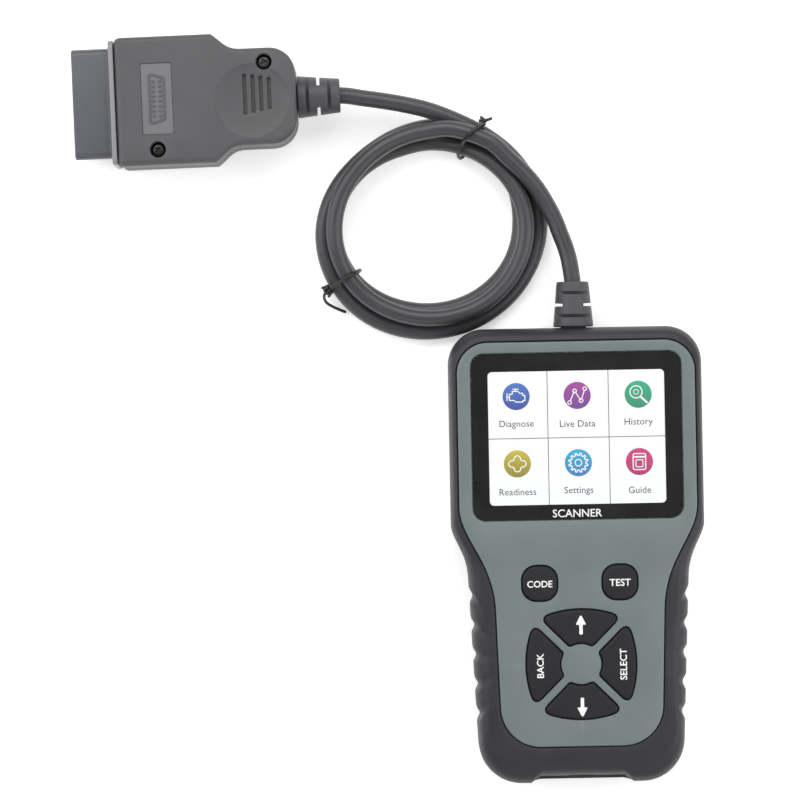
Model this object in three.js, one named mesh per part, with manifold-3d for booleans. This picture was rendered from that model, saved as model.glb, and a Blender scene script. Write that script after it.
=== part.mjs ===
// A handheld car code reader: handset with colour screen and six keys, coiled lead, and 16-way car plug.
// Millimetres, +Z up. The handset lies on its back with its screen up, its cable end towards +Y.
// The origin is on the surface it lies on, under the middle of the handset.
import * as THREE from 'three';
import { mergeVertices } from 'three/addons/utils/BufferGeometryUtils.js';
import Module from 'manifold-3d';

const wasm = await Module();
wasm.setup();

// ---- driving dimensions -------------------------------------------------------------------------
const GAP = 0.3; // between pieces that touch

const HANDSET_LENGTH = 149.2;
const HEAD_WIDTH = 83;
const GRIP_WIDTH = 72.2; // at the neck
const FOOT_WIDTH = 67.6; // just above the foot's corners
const HEAD_CORNER = 11.7;
const FOOT_CORNER = 14;
const NECK_TOP = 10; // where the head starts to narrow
const NECK_BOTTOM = -8;
const HOUSING_HEIGHT = 20.6;
const PARTING = 10.2; // height of the rear cover's rim
const EDGE = 2.2; // rounding of the housing's edges
const WALL = 2.4;
const FLOOR = 2.2; // thickness of the back

const GRIP_NOTCH_PITCH = 9.7;
const GRIP_NOTCHES = 5;
const GRIP_NOTCH_TOP = -13;
const GRIP_NOTCH_RADIUS = 5;
const GRIP_NOTCH_DEPTH = 0.85;
const GRIP_NOTCH_Z = [2.4, 18.4];

const PANEL_TOP = 70;
const PANEL_FOOT = -62.2;
const PANEL_HEAD_HALF = 38.8;
const PANEL_GRIP_HALF = 27.5;
const PANEL_LOW_HALF = 26.5;
const PANEL_HEAD_CORNER = 10;
const PANEL_FOOT_CORNER = 13;
const PANEL_Z = [19.1, 21.1];
const LEDGE_Z = 18.8;
const DECK_Z = 17;

const WINDOW = { x: 0, y: 39.1, w: 68.9, h: 54.7, r: 4.3, opening_w: 61.6, opening_h: 47.2 };
const LENS_Z = [20.2, 21];
const LCD = { w: 68, h: 47.6, z: [16.2, 18.7] };

const BOARD_Z = [9.6, 11.2];
const BOARD_HEAD = { half: 34.6, top: 62.8, low: 8 };
const BOARD_GRIP = { half: 22.8, low: -62 };
const MAT_Z = [11.5, 12.5];

const KEY_TOP = 21.8;
const KEY_FLANGE_Z = [17.2, 18.7];
const KEY_FLANGE = 1; // how far the flange reaches past the cap
const KEY_FOOT_Z = 14.1;
const KEY_FOOT_RADIUS = 2.4;
const PILL_Z = [12.9, 13.8];
const PILL_RADIUS = 2.2;
const KEY_GAP = 0.35;
const ROUND_KEY = { size: 11.4, r: 4.6, x: 13.1, y: -8.8 };
const PAD = { y: -35.4, hub: 6.9, reach: 17.9, arc: 34, side: 1.56, corner: 3.2, inner_corner: 0.9 };
const PAD_CONTACT = 12.2; // from the pad's middle to each key's contact

const PORT = { half: 4.4, z: [10.9, 15.9] };
const PORT_RECESS = { half: 16.8, slant: 1.3, front: 2.3, rear: 0.8 };

const REAR_SCREWS = [[-33.2, 66.4], [33.2, 66.4], [-26.4, -59.6], [26.4, -59.6]];
const BOARD_SCREWS = [[0, 3], [0, -60.5]];
const BOSS_RADIUS = 3.2;
const SCREW_HOLE = 1.65;
const SCREW_SEAT = 2.3; // height that the rear screws' heads bear at
const BOARD_SCREW_HOLE = 1.3;
const REAR_SCREW = { head: 2.6, height: 1.8, shank: 1.3, length: 12 };
const BOARD_SCREW = { head: 2, height: 1.3, shank: 0.95, length: 6.5 };

const CORD_DIAMETER = 5.5;
const EXIT_Z = 10.35; // height of the lead where it leaves the handset
const RELIEF_SLOTS = [0.24, 0.49, 0.75]; // places along a strain relief
const RELIEF_CORE = 3.1;
const RELIEF_SEAT = 3; // depth of each relief's inner flange behind the wall's outer face
const HANDSET_RELIEF = { base: 74.9, tip: 89.7, base_r: 6.6, tip_r: 5.3, neck: 4.2 };

const PLUG_AT = [-148.2, 150.6];
const PLUG_TURN = 1.4; // degrees
const PLUG_HEIGHT = 24;
const PLUG_HALF = 21;
const PLUG_TAIL_HALF = 15.8;
const PLUG_LENGTH = 58.7;
const PLUG_SHOULDER = [31.7, 40.8];
const PLUG_TAIL_CORNER = 8.4;
const PLUG_EDGE = 2;
const PLUG_PARTING = 11.85;
const PLUG_WALL = 2;
const PLUG_SCREWS = [[48.7, 11.1], [13.1, -16]];
const PLUG_SCREW = { head: 2.25, height: 1.8, shank: 1.2, length: 11.5 };
const PLUG_SCREW_HOLE = 1.5;
const PLUG_BORE = 2.7; // radius of the pocket over each screw
const PLUG_SEAT = 20; // height that the screws' heads rest at
const PLUG_LABEL = { x: 13.5, y: 0.5, w: 10.2, h: 23.3, r: 0.6, depth: 0.4 };
const PLUG_GROOVES = [[42.1, 13.4], [44.8, 12.6], [47.4, 11.6], [50.1, 10.4]]; // place, length
const PLUG_GROOVE = { y: 0.8, width: 1.5, depth: 1.4 };
const FLANGE_WIDTH = 40.6;
const NOSE = { mouth: -14.2, flange: [-1.9, -GAP], wide: 36.8, narrow: 31.2, z: [3.2, 20.8], wall: 1.7 };
const PIN_PITCH = 4;
const PIN_ROW = 4.2; // each row's distance from the plug's middle height
const PIN_X = [-9.5, 2.7];
const PINS_FITTED = [2, 4, 5, 6, 7, 10, 14, 15, 16];
const PLUG_RELIEF = { base: 59, tip: 72.9, base_r: 6.9, tip_r: 5.6, neck: 4.4 };

const COIL = { x: -46.3, y: 108.9, r: 32.6, flatten: 0.915 };
const COIL_INNER = -3.1; // strand offsets from the coil's mean line
const COIL_OUTER = 3.1;
const COIL_UPPER = -0.9;
const COIL_UPPER_Z = 9.3;
const TIES = [{ name: 'tie_top', angle: 66 }, { name: 'tie_side', angle: 212 }];
const TIE_WIRE = 1.2;

// ---- materials ----------------------------------------------------------------------------------
const finish = (color, roughness, metalness = 0) =>
  new THREE.MeshStandardMaterial({ color, roughness, metalness });
const DARK_SHELL = () => finish(0x3d3d41, 0.6);
const SOFT_FRAME = () => finish(0x46464b, 0.72);
const PANEL_GREEN = () => finish(0x6b7b79, 0.5);
const KEY_RUBBER = () => finish(0x2c2c33, 0.65);
const CARBON = () => finish(0x141414, 0.9);
const LENS = () => finish(0x1c1c1e, 0.08);
const LCD_WHITE = () => finish(0xe9ecf2, 0.3);
const NATURAL_PLASTIC = () => finish(0xd8d6cc, 0.6);
const SILICONE = () => finish(0xb9bcc0, 0.7);
const BOARD_GREEN = () => finish(0x1f5a3a, 0.45);
const CHIP_BLACK = () => finish(0x19191b, 0.55);
const STEEL = () => finish(0x8d9095, 0.3, 1);
const BLACK_STEEL = () => finish(0x1a1a1c, 0.35, 1);
const GOLD_PIN = () => finish(0xc9a24a, 0.25, 1);
const PLUG_GREY = () => finish(0x55565a, 0.6);
const CORD_PVC = () => finish(0x2e2f32, 0.45);
const RELIEF_PVC = () => finish(0x3a3b3f, 0.6);
const TIE_VINYL = () => finish(0x1f2022, 0.5);

// ---- geometry helpers ---------------------------------------------------------------------------
const object = new THREE.Group();

const solid = (geometry) => {
  const plain = geometry.clone();
  plain.deleteAttribute('normal');
  plain.deleteAttribute('uv');
  const merged = mergeVertices(plain, 1e-4);
  return new wasm.Manifold(new wasm.Mesh({
    numProp: 3,
    vertProperties: new Float32Array(merged.attributes.position.array),
    triVerts: new Uint32Array(merged.index.array),
  }));
};

const toGeometry = (manifold) => {
  const mesh = manifold.getMesh();
  const geometry = new THREE.BufferGeometry();
  geometry.setAttribute('position', new THREE.BufferAttribute(new Float32Array(mesh.vertProperties), 3));
  geometry.setIndex(new THREE.BufferAttribute(new Uint32Array(mesh.triVerts), 1));
  geometry.computeVertexNormals();
  return geometry;
};

const add = (parent, name, manifold, material) => {
  const mesh = new THREE.Mesh(toGeometry(manifold), material);
  mesh.name = name;
  parent.add(mesh);
  return mesh;
};

// A flat outline raised from one height to another.
const raise = (shape, low, high, curveSegments = 4) => {
  const options = { depth: high - low, bevelEnabled: false, curveSegments };
  return solid(new THREE.ExtrudeGeometry(shape, options).translate(0, 0, low));
};

// The same, with its top and bottom edges rounded. The outline is drawn smaller by the rounding.
const raiseRounded = (shape, low, high, edge, steps = 1, curveSegments = 4) => {
  const geometry = new THREE.ExtrudeGeometry(shape, {
    depth: high - low - 2 * edge,
    bevelThickness: edge,
    bevelSize: edge,
    bevelSegments: steps,
    curveSegments,
  });
  return solid(geometry.translate(0, 0, low + edge));
};

const box = (x, y, z) => {
  const geometry = new THREE.BoxGeometry(x[1] - x[0], y[1] - y[0], z[1] - z[0]);
  return solid(geometry.translate((x[0] + x[1]) / 2, (y[0] + y[1]) / 2, (z[0] + z[1]) / 2));
};

// Everything between two heights.
const slab = (low, high) => box([-200, 200], [-200, 200], [low, high]);

const post = (x, y, radius, low, high, sides = 12) => {
  const geometry = new THREE.CylinderGeometry(radius, radius, high - low, sides);
  return solid(geometry.rotateX(Math.PI / 2).translate(x, y, (low + high) / 2));
};

const roundedRectangle = (x, y, width, height, radius) => {
  const shape = new THREE.Shape();
  const [right, top] = [x + width / 2 - radius, y + height / 2 - radius];
  const [left, low] = [x - width / 2 + radius, y - height / 2 + radius];
  shape.absarc(right, top, radius, 0, Math.PI / 2);
  shape.absarc(left, top, radius, Math.PI / 2, Math.PI);
  shape.absarc(left, low, radius, Math.PI, 1.5 * Math.PI);
  shape.absarc(right, low, radius, 1.5 * Math.PI, 2 * Math.PI);
  return shape;
};

// A round tube along a smooth curve through points.
const tube = (points, radius, steps, sides = 8) => {
  const section = new THREE.Shape();
  for (let i = 0; i < sides; i += 1) {
    const turn = (2 * Math.PI * i) / sides;
    const point = [radius * Math.cos(turn), radius * Math.sin(turn)];
    if (i === 0) section.moveTo(...point);
    else section.lineTo(...point);
  }
  const path = new THREE.CatmullRomCurve3(points.map((p) => new THREE.Vector3(...p)), false, 'centripetal');
  return solid(new THREE.ExtrudeGeometry(section, { steps, extrudePath: path, bevelEnabled: false }));
};

// A pan-head screw, its head uppermost, with a cross recess. Its underside of head is at z = 0.
const screw = ({ head, height, shank, length }) => {
  const profile = [
    [0, -length], [shank * 0.5, -length], [shank, 1 - length], [shank, 0],
    [head, 0], [head, height * 0.55], [head * 0.7, height], [0, height],
  ].map((p) => new THREE.Vector2(...p));
  const body = solid(new THREE.LatheGeometry(profile, 10).rotateX(Math.PI / 2));
  const arm = head * 0.55;
  const slot = [height * 0.45, height + 1];
  const cross = box([-arm, arm], [-0.3, 0.3], slot).add(box([-0.3, 0.3], [-arm, arm], slot));
  return body.subtract(cross);
};

// ---- outlines -----------------------------------------------------------------------------------
// Handset outline, shrunk by an inset. It goes round anticlockwise from the foot.
const housingOutline = (inset = 0) => {
  const end = HANDSET_LENGTH / 2 - inset;
  const head = HEAD_WIDTH / 2 - inset;
  const grip = GRIP_WIDTH / 2 - inset;
  const foot = FOOT_WIDTH / 2 - inset;
  const [headCorner, footCorner] = [HEAD_CORNER - inset, FOOT_CORNER - inset];
  const shape = new THREE.Shape();
  shape.absarc(foot - footCorner, footCorner - end, footCorner, -Math.PI / 2, 0);
  shape.lineTo(grip, NECK_BOTTOM);
  shape.bezierCurveTo(grip + 0.1, NECK_BOTTOM + 9, head - 0.2, NECK_TOP - 4.5, head, NECK_TOP);
  shape.absarc(head - headCorner, end - headCorner, headCorner, 0, Math.PI / 2);
  shape.absarc(headCorner - head, end - headCorner, headCorner, Math.PI / 2, Math.PI);
  shape.lineTo(-head, NECK_TOP);
  shape.bezierCurveTo(0.2 - head, NECK_TOP - 4.5, -grip - 0.1, NECK_BOTTOM + 9, -grip, NECK_BOTTOM);
  shape.absarc(footCorner - foot, footCorner - end, footCorner, Math.PI, 1.5 * Math.PI);
  return shape;
};

const panelOutline = (inset = 0) => {
  const [top, foot] = [PANEL_TOP - inset, PANEL_FOOT + inset];
  const [head, grip, low] = [PANEL_HEAD_HALF - inset, PANEL_GRIP_HALF - inset, PANEL_LOW_HALF - inset];
  const [headCorner, footCorner] = [PANEL_HEAD_CORNER - inset, PANEL_FOOT_CORNER - inset];
  const shape = new THREE.Shape();
  shape.absarc(low - footCorner, foot + footCorner, footCorner, -Math.PI / 2, 0);
  shape.lineTo(grip, -18);
  shape.bezierCurveTo(grip + 0.5, -1, head - 0.4, 5.5, head, 16);
  shape.absarc(head - headCorner, top - headCorner, headCorner, 0, Math.PI / 2);
  shape.absarc(headCorner - head, top - headCorner, headCorner, Math.PI / 2, Math.PI);
  shape.lineTo(-head, 16);
  shape.bezierCurveTo(0.4 - head, 5.5, -grip - 0.5, -1, -grip, -18);
  shape.absarc(footCorner - low, foot + footCorner, footCorner, Math.PI, 1.5 * Math.PI);
  return shape;
};

// The pad's upper key, about the pad's middle: a sector with a hollow inner end. Grown by an offset.
const padKeyOutline = (grow = 0) => {
  const side = PAD.side - grow;
  const hub = PAD.hub - grow;
  const outerRadius = PAD.arc + grow;
  const outerCentre = PAD.reach - PAD.arc;
  // where the straight side x = y - side * sqrt(2) meets the outer arc and the hub
  const shift = side * Math.SQRT2;
  const meet = (centre, radius) => {
    const half = (shift + centre) / 2;
    return half + Math.sqrt(half * half - (shift * shift + centre * centre - radius * radius) / 2);
  };
  const outerY = meet(outerCentre, outerRadius);
  const innerY = meet(0, hub);
  const [corner, inner] = [PAD.corner + grow, PAD.inner_corner + grow];
  const outerTurn = Math.atan2(outerY - outerCentre, outerY - shift) + corner / outerRadius;
  const innerTurn = Math.atan2(innerY, innerY - shift) + inner / hub;
  const diagonal = Math.SQRT1_2;
  const shape = new THREE.Shape();
  shape.moveTo(innerY - shift + inner * diagonal, innerY + inner * diagonal);
  shape.lineTo(outerY - shift - corner * diagonal, outerY - corner * diagonal);
  shape.quadraticCurveTo(
    outerY - shift, outerY,
    outerRadius * Math.cos(outerTurn), outerCentre + outerRadius * Math.sin(outerTurn),
  );
  shape.absarc(0, outerCentre, outerRadius, outerTurn, Math.PI - outerTurn);
  shape.quadraticCurveTo(
    shift - outerY, outerY,
    shift - outerY + corner * diagonal, outerY - corner * diagonal,
  );
  shape.lineTo(shift - innerY - inner * diagonal, innerY + inner * diagonal);
  shape.quadraticCurveTo(
    shift - innerY, innerY,
    hub * Math.cos(Math.PI - innerTurn), hub * Math.sin(innerTurn),
  );
  shape.absarc(0, 0, hub, Math.PI - innerTurn, innerTurn, true);
  shape.quadraticCurveTo(
    innerY - shift, innerY,
    innerY - shift + inner * diagonal, innerY + inner * diagonal,
  );
  return shape;
};

// Plug outline from its flange (x = 0) to its tail, shrunk by an inset.
const plugOutline = (inset = 0) => {
  const [wide, tail, end] = [PLUG_HALF - inset, PLUG_TAIL_HALF - inset, PLUG_LENGTH - inset];
  const [start, finishX] = PLUG_SHOULDER;
  const corner = PLUG_TAIL_CORNER - inset;
  const shape = new THREE.Shape();
  shape.moveTo(inset, -wide);
  shape.lineTo(start, -wide);
  shape.bezierCurveTo(start + 3.8, -wide + 2.8, start + 4.6, -tail - 0.2, finishX, -tail);
  shape.absarc(end - corner, corner - tail, corner, -Math.PI / 2, 0);
  shape.absarc(end - corner, tail - corner, corner, 0, Math.PI / 2);
  shape.lineTo(finishX, tail);
  shape.bezierCurveTo(start + 4.6, tail + 0.2, start + 3.8, wide - 2.8, start, wide);
  shape.lineTo(inset, wide);
  return shape;
};

// ---- keys ---------------------------------------------------------------------------------------
const padTurn = (manifold, degrees) => manifold.rotate([0, 0, degrees]).translate([0, PAD.y, 0]);

const roundKeyOutline = (x, grow) =>
  roundedRectangle(x, ROUND_KEY.y, ROUND_KEY.size + 2 * grow, ROUND_KEY.size + 2 * grow, ROUND_KEY.r + grow);

// Each key: its solid grown by an offset between two heights, and the middle of its contact.
const KEYS = [
  { name: 'code_key', x: -ROUND_KEY.x, y: ROUND_KEY.y },
  { name: 'ready_key', x: ROUND_KEY.x, y: ROUND_KEY.y },
  { name: 'up_key', x: 0, y: PAD.y + PAD_CONTACT, turn: 0 },
  { name: 'exit_key', x: -PAD_CONTACT, y: PAD.y, turn: 90 },
  { name: 'down_key', x: 0, y: PAD.y - PAD_CONTACT, turn: 180 },
  { name: 'enter_key', x: PAD_CONTACT, y: PAD.y, turn: 270 },
];

const keyPrism = (key, grow, low, high) => {
  if (key.turn === undefined) return raise(roundKeyOutline(key.x, grow), low, high, 2);
  return padTurn(raise(padKeyOutline(grow), low, high, 3), key.turn);
};

const keyCap = (key) => {
  const edge = 0.4;
  const top = KEY_TOP - edge;
  const rim = keyPrism(key, -edge, top, KEY_TOP);
  return keyPrism(key, 0, KEY_FLANGE_Z[0], top).add(rim)
    .add(keyPrism(key, KEY_FLANGE, ...KEY_FLANGE_Z))
    .add(post(key.x, key.y, KEY_FOOT_RADIUS, KEY_FOOT_Z, KEY_FLANGE_Z[1], 12));
};

for (const key of KEYS) {
  add(object, key.name, keyCap(key), KEY_RUBBER());
  add(object, `${key.name}_contact`, post(key.x, key.y, PILL_RADIUS, ...PILL_Z, 12), CARBON());
}

// ---- handset housing ----------------------------------------------------------------------------
const housingBlock = () => {
  let block = raiseRounded(housingOutline(EDGE), 0, HOUSING_HEIGHT, EDGE);
  for (let i = 0; i < GRIP_NOTCHES; i += 1) {
    const y = GRIP_NOTCH_TOP - i * GRIP_NOTCH_PITCH;
    const slope = (GRIP_WIDTH - FOOT_WIDTH) / 2 / (HANDSET_LENGTH / 2 - FOOT_CORNER + NECK_BOTTOM);
    const half = GRIP_WIDTH / 2 + (y - NECK_BOTTOM) * slope;
    for (const side of [-1, 1]) {
      const x = side * (half + GRIP_NOTCH_RADIUS - GRIP_NOTCH_DEPTH);
      block = block.subtract(post(x, y, GRIP_NOTCH_RADIUS, ...GRIP_NOTCH_Z, 16));
    }
  }
  return block;
};

// The recess round the port in the foot, deeper in the front frame than in the rear cover.
const portRecess = (depth, low, high) => {
  const end = -HANDSET_LENGTH / 2;
  const shape = new THREE.Shape();
  const { half, slant } = PORT_RECESS;
  shape.moveTo(-half, end - 1);
  shape.lineTo(half, end - 1);
  shape.lineTo(half, end);
  shape.lineTo(half - slant * depth, end + depth);
  shape.lineTo(slant * depth - half, end + depth);
  shape.lineTo(-half, end);
  return raise(shape, low, high);
};

const reliefHole = () => {
  const radius = HANDSET_RELIEF.neck + GAP;
  const geometry = new THREE.CylinderGeometry(radius, radius, 8, 16);
  return solid(geometry.translate(0, HANDSET_LENGTH / 2, EXIT_Z));
};

const rearCover = () => {
  let cover = housingBlock().intersect(slab(0, PARTING))
    .subtract(raise(housingOutline(WALL), FLOOR, PARTING + 1));
  for (const [x, y] of REAR_SCREWS) cover = cover.add(post(x, y, BOSS_RADIUS, 1, PARTING));
  for (const [x, y] of BOARD_SCREWS) cover = cover.add(post(x, y, 2.8, 1, BOARD_Z[0] - GAP));
  for (const [x, y] of REAR_SCREWS) {
    cover = cover.subtract(post(x, y, SCREW_HOLE, -1, PARTING + 1));
    cover = cover.subtract(post(x, y, 2.95, -1, SCREW_SEAT + GAP));
  }
  for (const [x, y] of BOARD_SCREWS) cover = cover.subtract(post(x, y, BOARD_SCREW_HOLE, 4, PARTING));
  return cover.subtract(reliefHole()).subtract(portRecess(PORT_RECESS.rear, -1, PARTING + 1));
};

const frontFrame = () => {
  let frame = housingBlock().intersect(slab(PARTING + GAP, HOUSING_HEIGHT))
    .subtract(raise(housingOutline(WALL), PARTING, DECK_Z))
    .subtract(raise(panelOutline(2.2), PARTING, HOUSING_HEIGHT + 1))
    .subtract(raise(panelOutline(-GAP), LEDGE_Z, HOUSING_HEIGHT + 1));
  for (const [x, y] of REAR_SCREWS) {
    frame = frame.add(post(x, y, BOSS_RADIUS, PARTING + GAP, DECK_Z + 0.5));
    frame = frame.subtract(post(x, y, SCREW_HOLE, PARTING, 15.4));
  }
  const foot = -HANDSET_LENGTH / 2;
  const reach = PORT_RECESS.half + 1.6;
  const backing = box([-reach, reach], [foot + 2.2, foot + 4], [PARTING + GAP, DECK_Z + 0.2]);
  const port = box([-PORT.half, PORT.half], [foot - 1, foot + 5], PORT.z);
  return frame.add(backing).subtract(reliefHole())
    .subtract(portRecess(PORT_RECESS.front, PARTING, HOUSING_HEIGHT + 1)).subtract(port);
};

const facePanel = () => {
  const edge = 0.5;
  const pocket = roundedRectangle(WINDOW.x, WINDOW.y, WINDOW.w + 2 * GAP, WINDOW.h + 2 * GAP, WINDOW.r + GAP);
  const opening = roundedRectangle(WINDOW.x, WINDOW.y, WINDOW.opening_w, WINDOW.opening_h, 1.5);
  let panel = raiseRounded(panelOutline(edge), ...PANEL_Z, edge)
    .subtract(raise(pocket, LENS_Z[0] - GAP, PANEL_Z[1] + 1, 2))
    .subtract(raise(opening, PANEL_Z[0] - 1, PANEL_Z[1] + 1, 1));
  for (const key of KEYS) panel = panel.subtract(keyPrism(key, KEY_GAP, PANEL_Z[0] - 1, PANEL_Z[1] + 1));
  return panel;
};

add(object, 'rear_cover', rearCover(), DARK_SHELL());
add(object, 'front_frame', frontFrame(), SOFT_FRAME());
add(object, 'face_panel', facePanel(), PANEL_GREEN());
const lensOutline = roundedRectangle(WINDOW.x, WINDOW.y, WINDOW.w, WINDOW.h, WINDOW.r);
add(object, 'screen_lens', raise(lensOutline, ...LENS_Z, 2), LENS());

// ---- display ------------------------------------------------------------------------------------
const lcdBox = (grow, low, high) => {
  const [x, y] = [LCD.w / 2 + grow, LCD.h / 2 + grow];
  return box([-x, x], [WINDOW.y - y, WINDOW.y + y], [low, high]);
};
const lcdFrame = lcdBox(0, MAT_Z[0], LCD.z[0] - GAP).subtract(lcdBox(-3, MAT_Z[0] - 1, LCD.z[0]));
add(object, 'lcd_module', lcdBox(0, ...LCD.z), LCD_WHITE());
add(object, 'lcd_frame', lcdFrame, NATURAL_PLASTIC());

// ---- board and what is on it --------------------------------------------------------------------
const boardOutline = () => {
  const shape = new THREE.Shape();
  const neck = BOARD_HEAD.half - BOARD_GRIP.half;
  shape.moveTo(-BOARD_GRIP.half, BOARD_GRIP.low);
  shape.lineTo(BOARD_GRIP.half, BOARD_GRIP.low);
  shape.lineTo(BOARD_GRIP.half, BOARD_HEAD.low - neck);
  shape.lineTo(BOARD_HEAD.half, BOARD_HEAD.low);
  shape.lineTo(BOARD_HEAD.half, BOARD_HEAD.top);
  shape.lineTo(-BOARD_HEAD.half, BOARD_HEAD.top);
  shape.lineTo(-BOARD_HEAD.half, BOARD_HEAD.low);
  shape.lineTo(-BOARD_GRIP.half, BOARD_HEAD.low - neck);
  return shape;
};
let board = raise(boardOutline(), ...BOARD_Z);
for (const [x, y] of BOARD_SCREWS) {
  board = board.subtract(post(x, y, BOARD_SCREW_HOLE, BOARD_Z[0] - 1, BOARD_Z[1] + 1));
}
add(object, 'main_board', board, BOARD_GREEN());

let mat = raise(roundedRectangle(0, -29.8, 45, 55, 3), ...MAT_Z, 1);
for (const key of KEYS) mat = mat.subtract(post(key.x, key.y, 3.3, MAT_Z[0] - 1, MAT_Z[1] + 1, 10));
add(object, 'keypad_mat', mat, SILICONE());

// Pieces under the board hang from its lower face.
const UNDER = BOARD_Z[0] - GAP;
const CHIPS = [
  { name: 'processor_chip', x: 0, y: 34, w: 14, h: 14, t: 1.4 },
  { name: 'memory_chip', x: 19, y: 38, w: 8, h: 6, t: 1.6 },
  { name: 'bus_transceiver', x: -18, y: 46, w: 6, h: 5, t: 1.6 },
  { name: 'clock_crystal', x: 15, y: 27, w: 11, h: 4.5, t: 3.4 },
];
for (const chip of CHIPS) {
  const [x, y] = [[chip.x - chip.w / 2, chip.x + chip.w / 2], [chip.y - chip.h / 2, chip.y + chip.h / 2]];
  const material = chip.name === 'clock_crystal' ? STEEL() : CHIP_BLACK();
  add(object, chip.name, box(x, y, [UNDER - chip.t, UNDER]), material);
}
add(object, 'buzzer', post(-20, 24, 4.6, UNDER - 4.2, UNDER, 20), CHIP_BLACK());
add(object, 'supply_capacitor', post(-24, 54, 3.1, UNDER - 5.6, UNDER, 16), STEEL());
const header = box([-7.5, 7.5], [54, 60], [UNDER - 5, UNDER])
  .subtract(box([-6.3, 6.3], [55.2, 61], [UNDER - 3.8, UNDER - 1]));
add(object, 'board_header', header, NATURAL_PLASTIC());
add(object, 'header_plug', box([-6, 6], [55.5, 64], [UNDER - 3.5, UNDER - 1.3]), NATURAL_PLASTIC());
const innerRoute = [[0, 64.5, 6.9], [0, 65.4, 7.1], [0, 66.3, 9.6], [0, 67.4, EXIT_Z]];
add(object, 'inner_wires', tube(innerRoute, 0.9, 8, 8), CORD_PVC());
add(object, 'usb_socket', box([-4, 4], [-71.8, -62.9], [11.4, 15.5]), STEEL());

// ---- screws of the handset ----------------------------------------------------------------------
REAR_SCREWS.forEach(([x, y], i) => {
  const mesh = add(object, `rear_screw_${i + 1}`, screw(REAR_SCREW), BLACK_STEEL());
  mesh.rotation.x = Math.PI;
  mesh.position.set(x, y, SCREW_SEAT);
});
BOARD_SCREWS.forEach(([x, y], i) => {
  const mesh = add(object, `board_screw_${i + 1}`, screw(BOARD_SCREW), STEEL());
  mesh.position.set(x, y, BOARD_Z[1] + GAP);
});

// ---- strain reliefs -----------------------------------------------------------------------------
// Along +Y from the wall: inner flange, neck, then the tapered sleeve with three rows of flex slots.
const strainRelief = (r) => {
  const length = r.tip - r.base;
  const flange = r.neck + 1.8;
  const profile = [
    [0, -RELIEF_SEAT - 3.8], [flange, -RELIEF_SEAT - 3.8], [flange, -RELIEF_SEAT],
    [r.neck, -RELIEF_SEAT], [r.neck, 0],
    [r.base_r, 0], [r.tip_r, length - 0.6], [r.tip_r - 0.6, length], [0, length],
  ].map((p) => new THREE.Vector2(...p));
  let relief = solid(new THREE.LatheGeometry(profile, 16));
  RELIEF_SLOTS.forEach((share, row) => {
    const y = [length * share - 0.55, length * share + 0.55];
    for (const side of [-1, 1]) {
      const out = [RELIEF_CORE, 9].map((v) => v * side).sort((a, b) => a - b);
      const slot = row === 1 ? box(out, [-9, 9], [-9, 9]) : box([-9, 9], [-9, 9], out);
      relief = relief.subtract(slot.intersect(box([-9, 9], y, [-9, 9])));
    }
  });
  return relief;
};
const handsetRelief = add(object, 'handset_strain_relief', strainRelief(HANDSET_RELIEF), RELIEF_PVC());
handsetRelief.position.set(0, HANDSET_RELIEF.base, EXIT_Z);

// ---- car plug -----------------------------------------------------------------------------------
const plug = new THREE.Group();
plug.position.set(...PLUG_AT, 0);
plug.rotation.z = THREE.MathUtils.degToRad(PLUG_TURN);
object.add(plug);

const PLUG_MIDDLE = PLUG_HEIGHT / 2;
const alongX = (geometry, x) => solid(geometry.rotateZ(-Math.PI / 2).translate(x, 0, PLUG_MIDDLE));

const plugShell = (low, high) => {
  const block = raiseRounded(plugOutline(PLUG_EDGE), 0, PLUG_HEIGHT, PLUG_EDGE);
  const front = box([-1, 5], [-17, 17], [3.5, PLUG_HEIGHT - 3.5]);
  const hollow = raise(plugOutline(PLUG_EDGE), PLUG_WALL, PLUG_HEIGHT - PLUG_WALL).add(front);
  let shell = block.subtract(hollow);
  for (const [x, y] of PLUG_SCREWS) {
    shell = shell.add(post(x, y, BOSS_RADIUS, 1, PLUG_HEIGHT - 1).intersect(block));
  }
  const radius = PLUG_RELIEF.neck + GAP;
  shell = shell.subtract(alongX(new THREE.CylinderGeometry(radius, radius, 8, 16), PLUG_LENGTH));
  return shell.intersect(slab(low, high));
};

const plugTopShell = () => {
  let shell = plugShell(PLUG_PARTING + GAP / 2, PLUG_HEIGHT);
  for (const [x, y] of PLUG_SCREWS) {
    shell = shell.subtract(post(x, y, PLUG_SCREW_HOLE, 0, PLUG_HEIGHT));
    shell = shell.subtract(post(x, y, PLUG_BORE, PLUG_SEAT, PLUG_HEIGHT + 1, 16));
  }
  const label = roundedRectangle(PLUG_LABEL.x, PLUG_LABEL.y, PLUG_LABEL.w, PLUG_LABEL.h, PLUG_LABEL.r);
  shell = shell.subtract(raise(label, PLUG_HEIGHT - PLUG_LABEL.depth, PLUG_HEIGHT + 1, 1));
  for (const [x, length] of PLUG_GROOVES) {
    const groove = roundedRectangle(x, PLUG_GROOVE.y, PLUG_GROOVE.width, length, 0.7);
    shell = shell.subtract(raise(groove, PLUG_HEIGHT - PLUG_GROOVE.depth, PLUG_HEIGHT + 1, 1));
  }
  return shell;
};

const plugBottomShell = () => {
  let shell = plugShell(0, PLUG_PARTING - GAP / 2);
  for (const [x, y] of PLUG_SCREWS) shell = shell.subtract(post(x, y, PLUG_SCREW_HOLE, 7, PLUG_PARTING));
  return shell;
};

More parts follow.
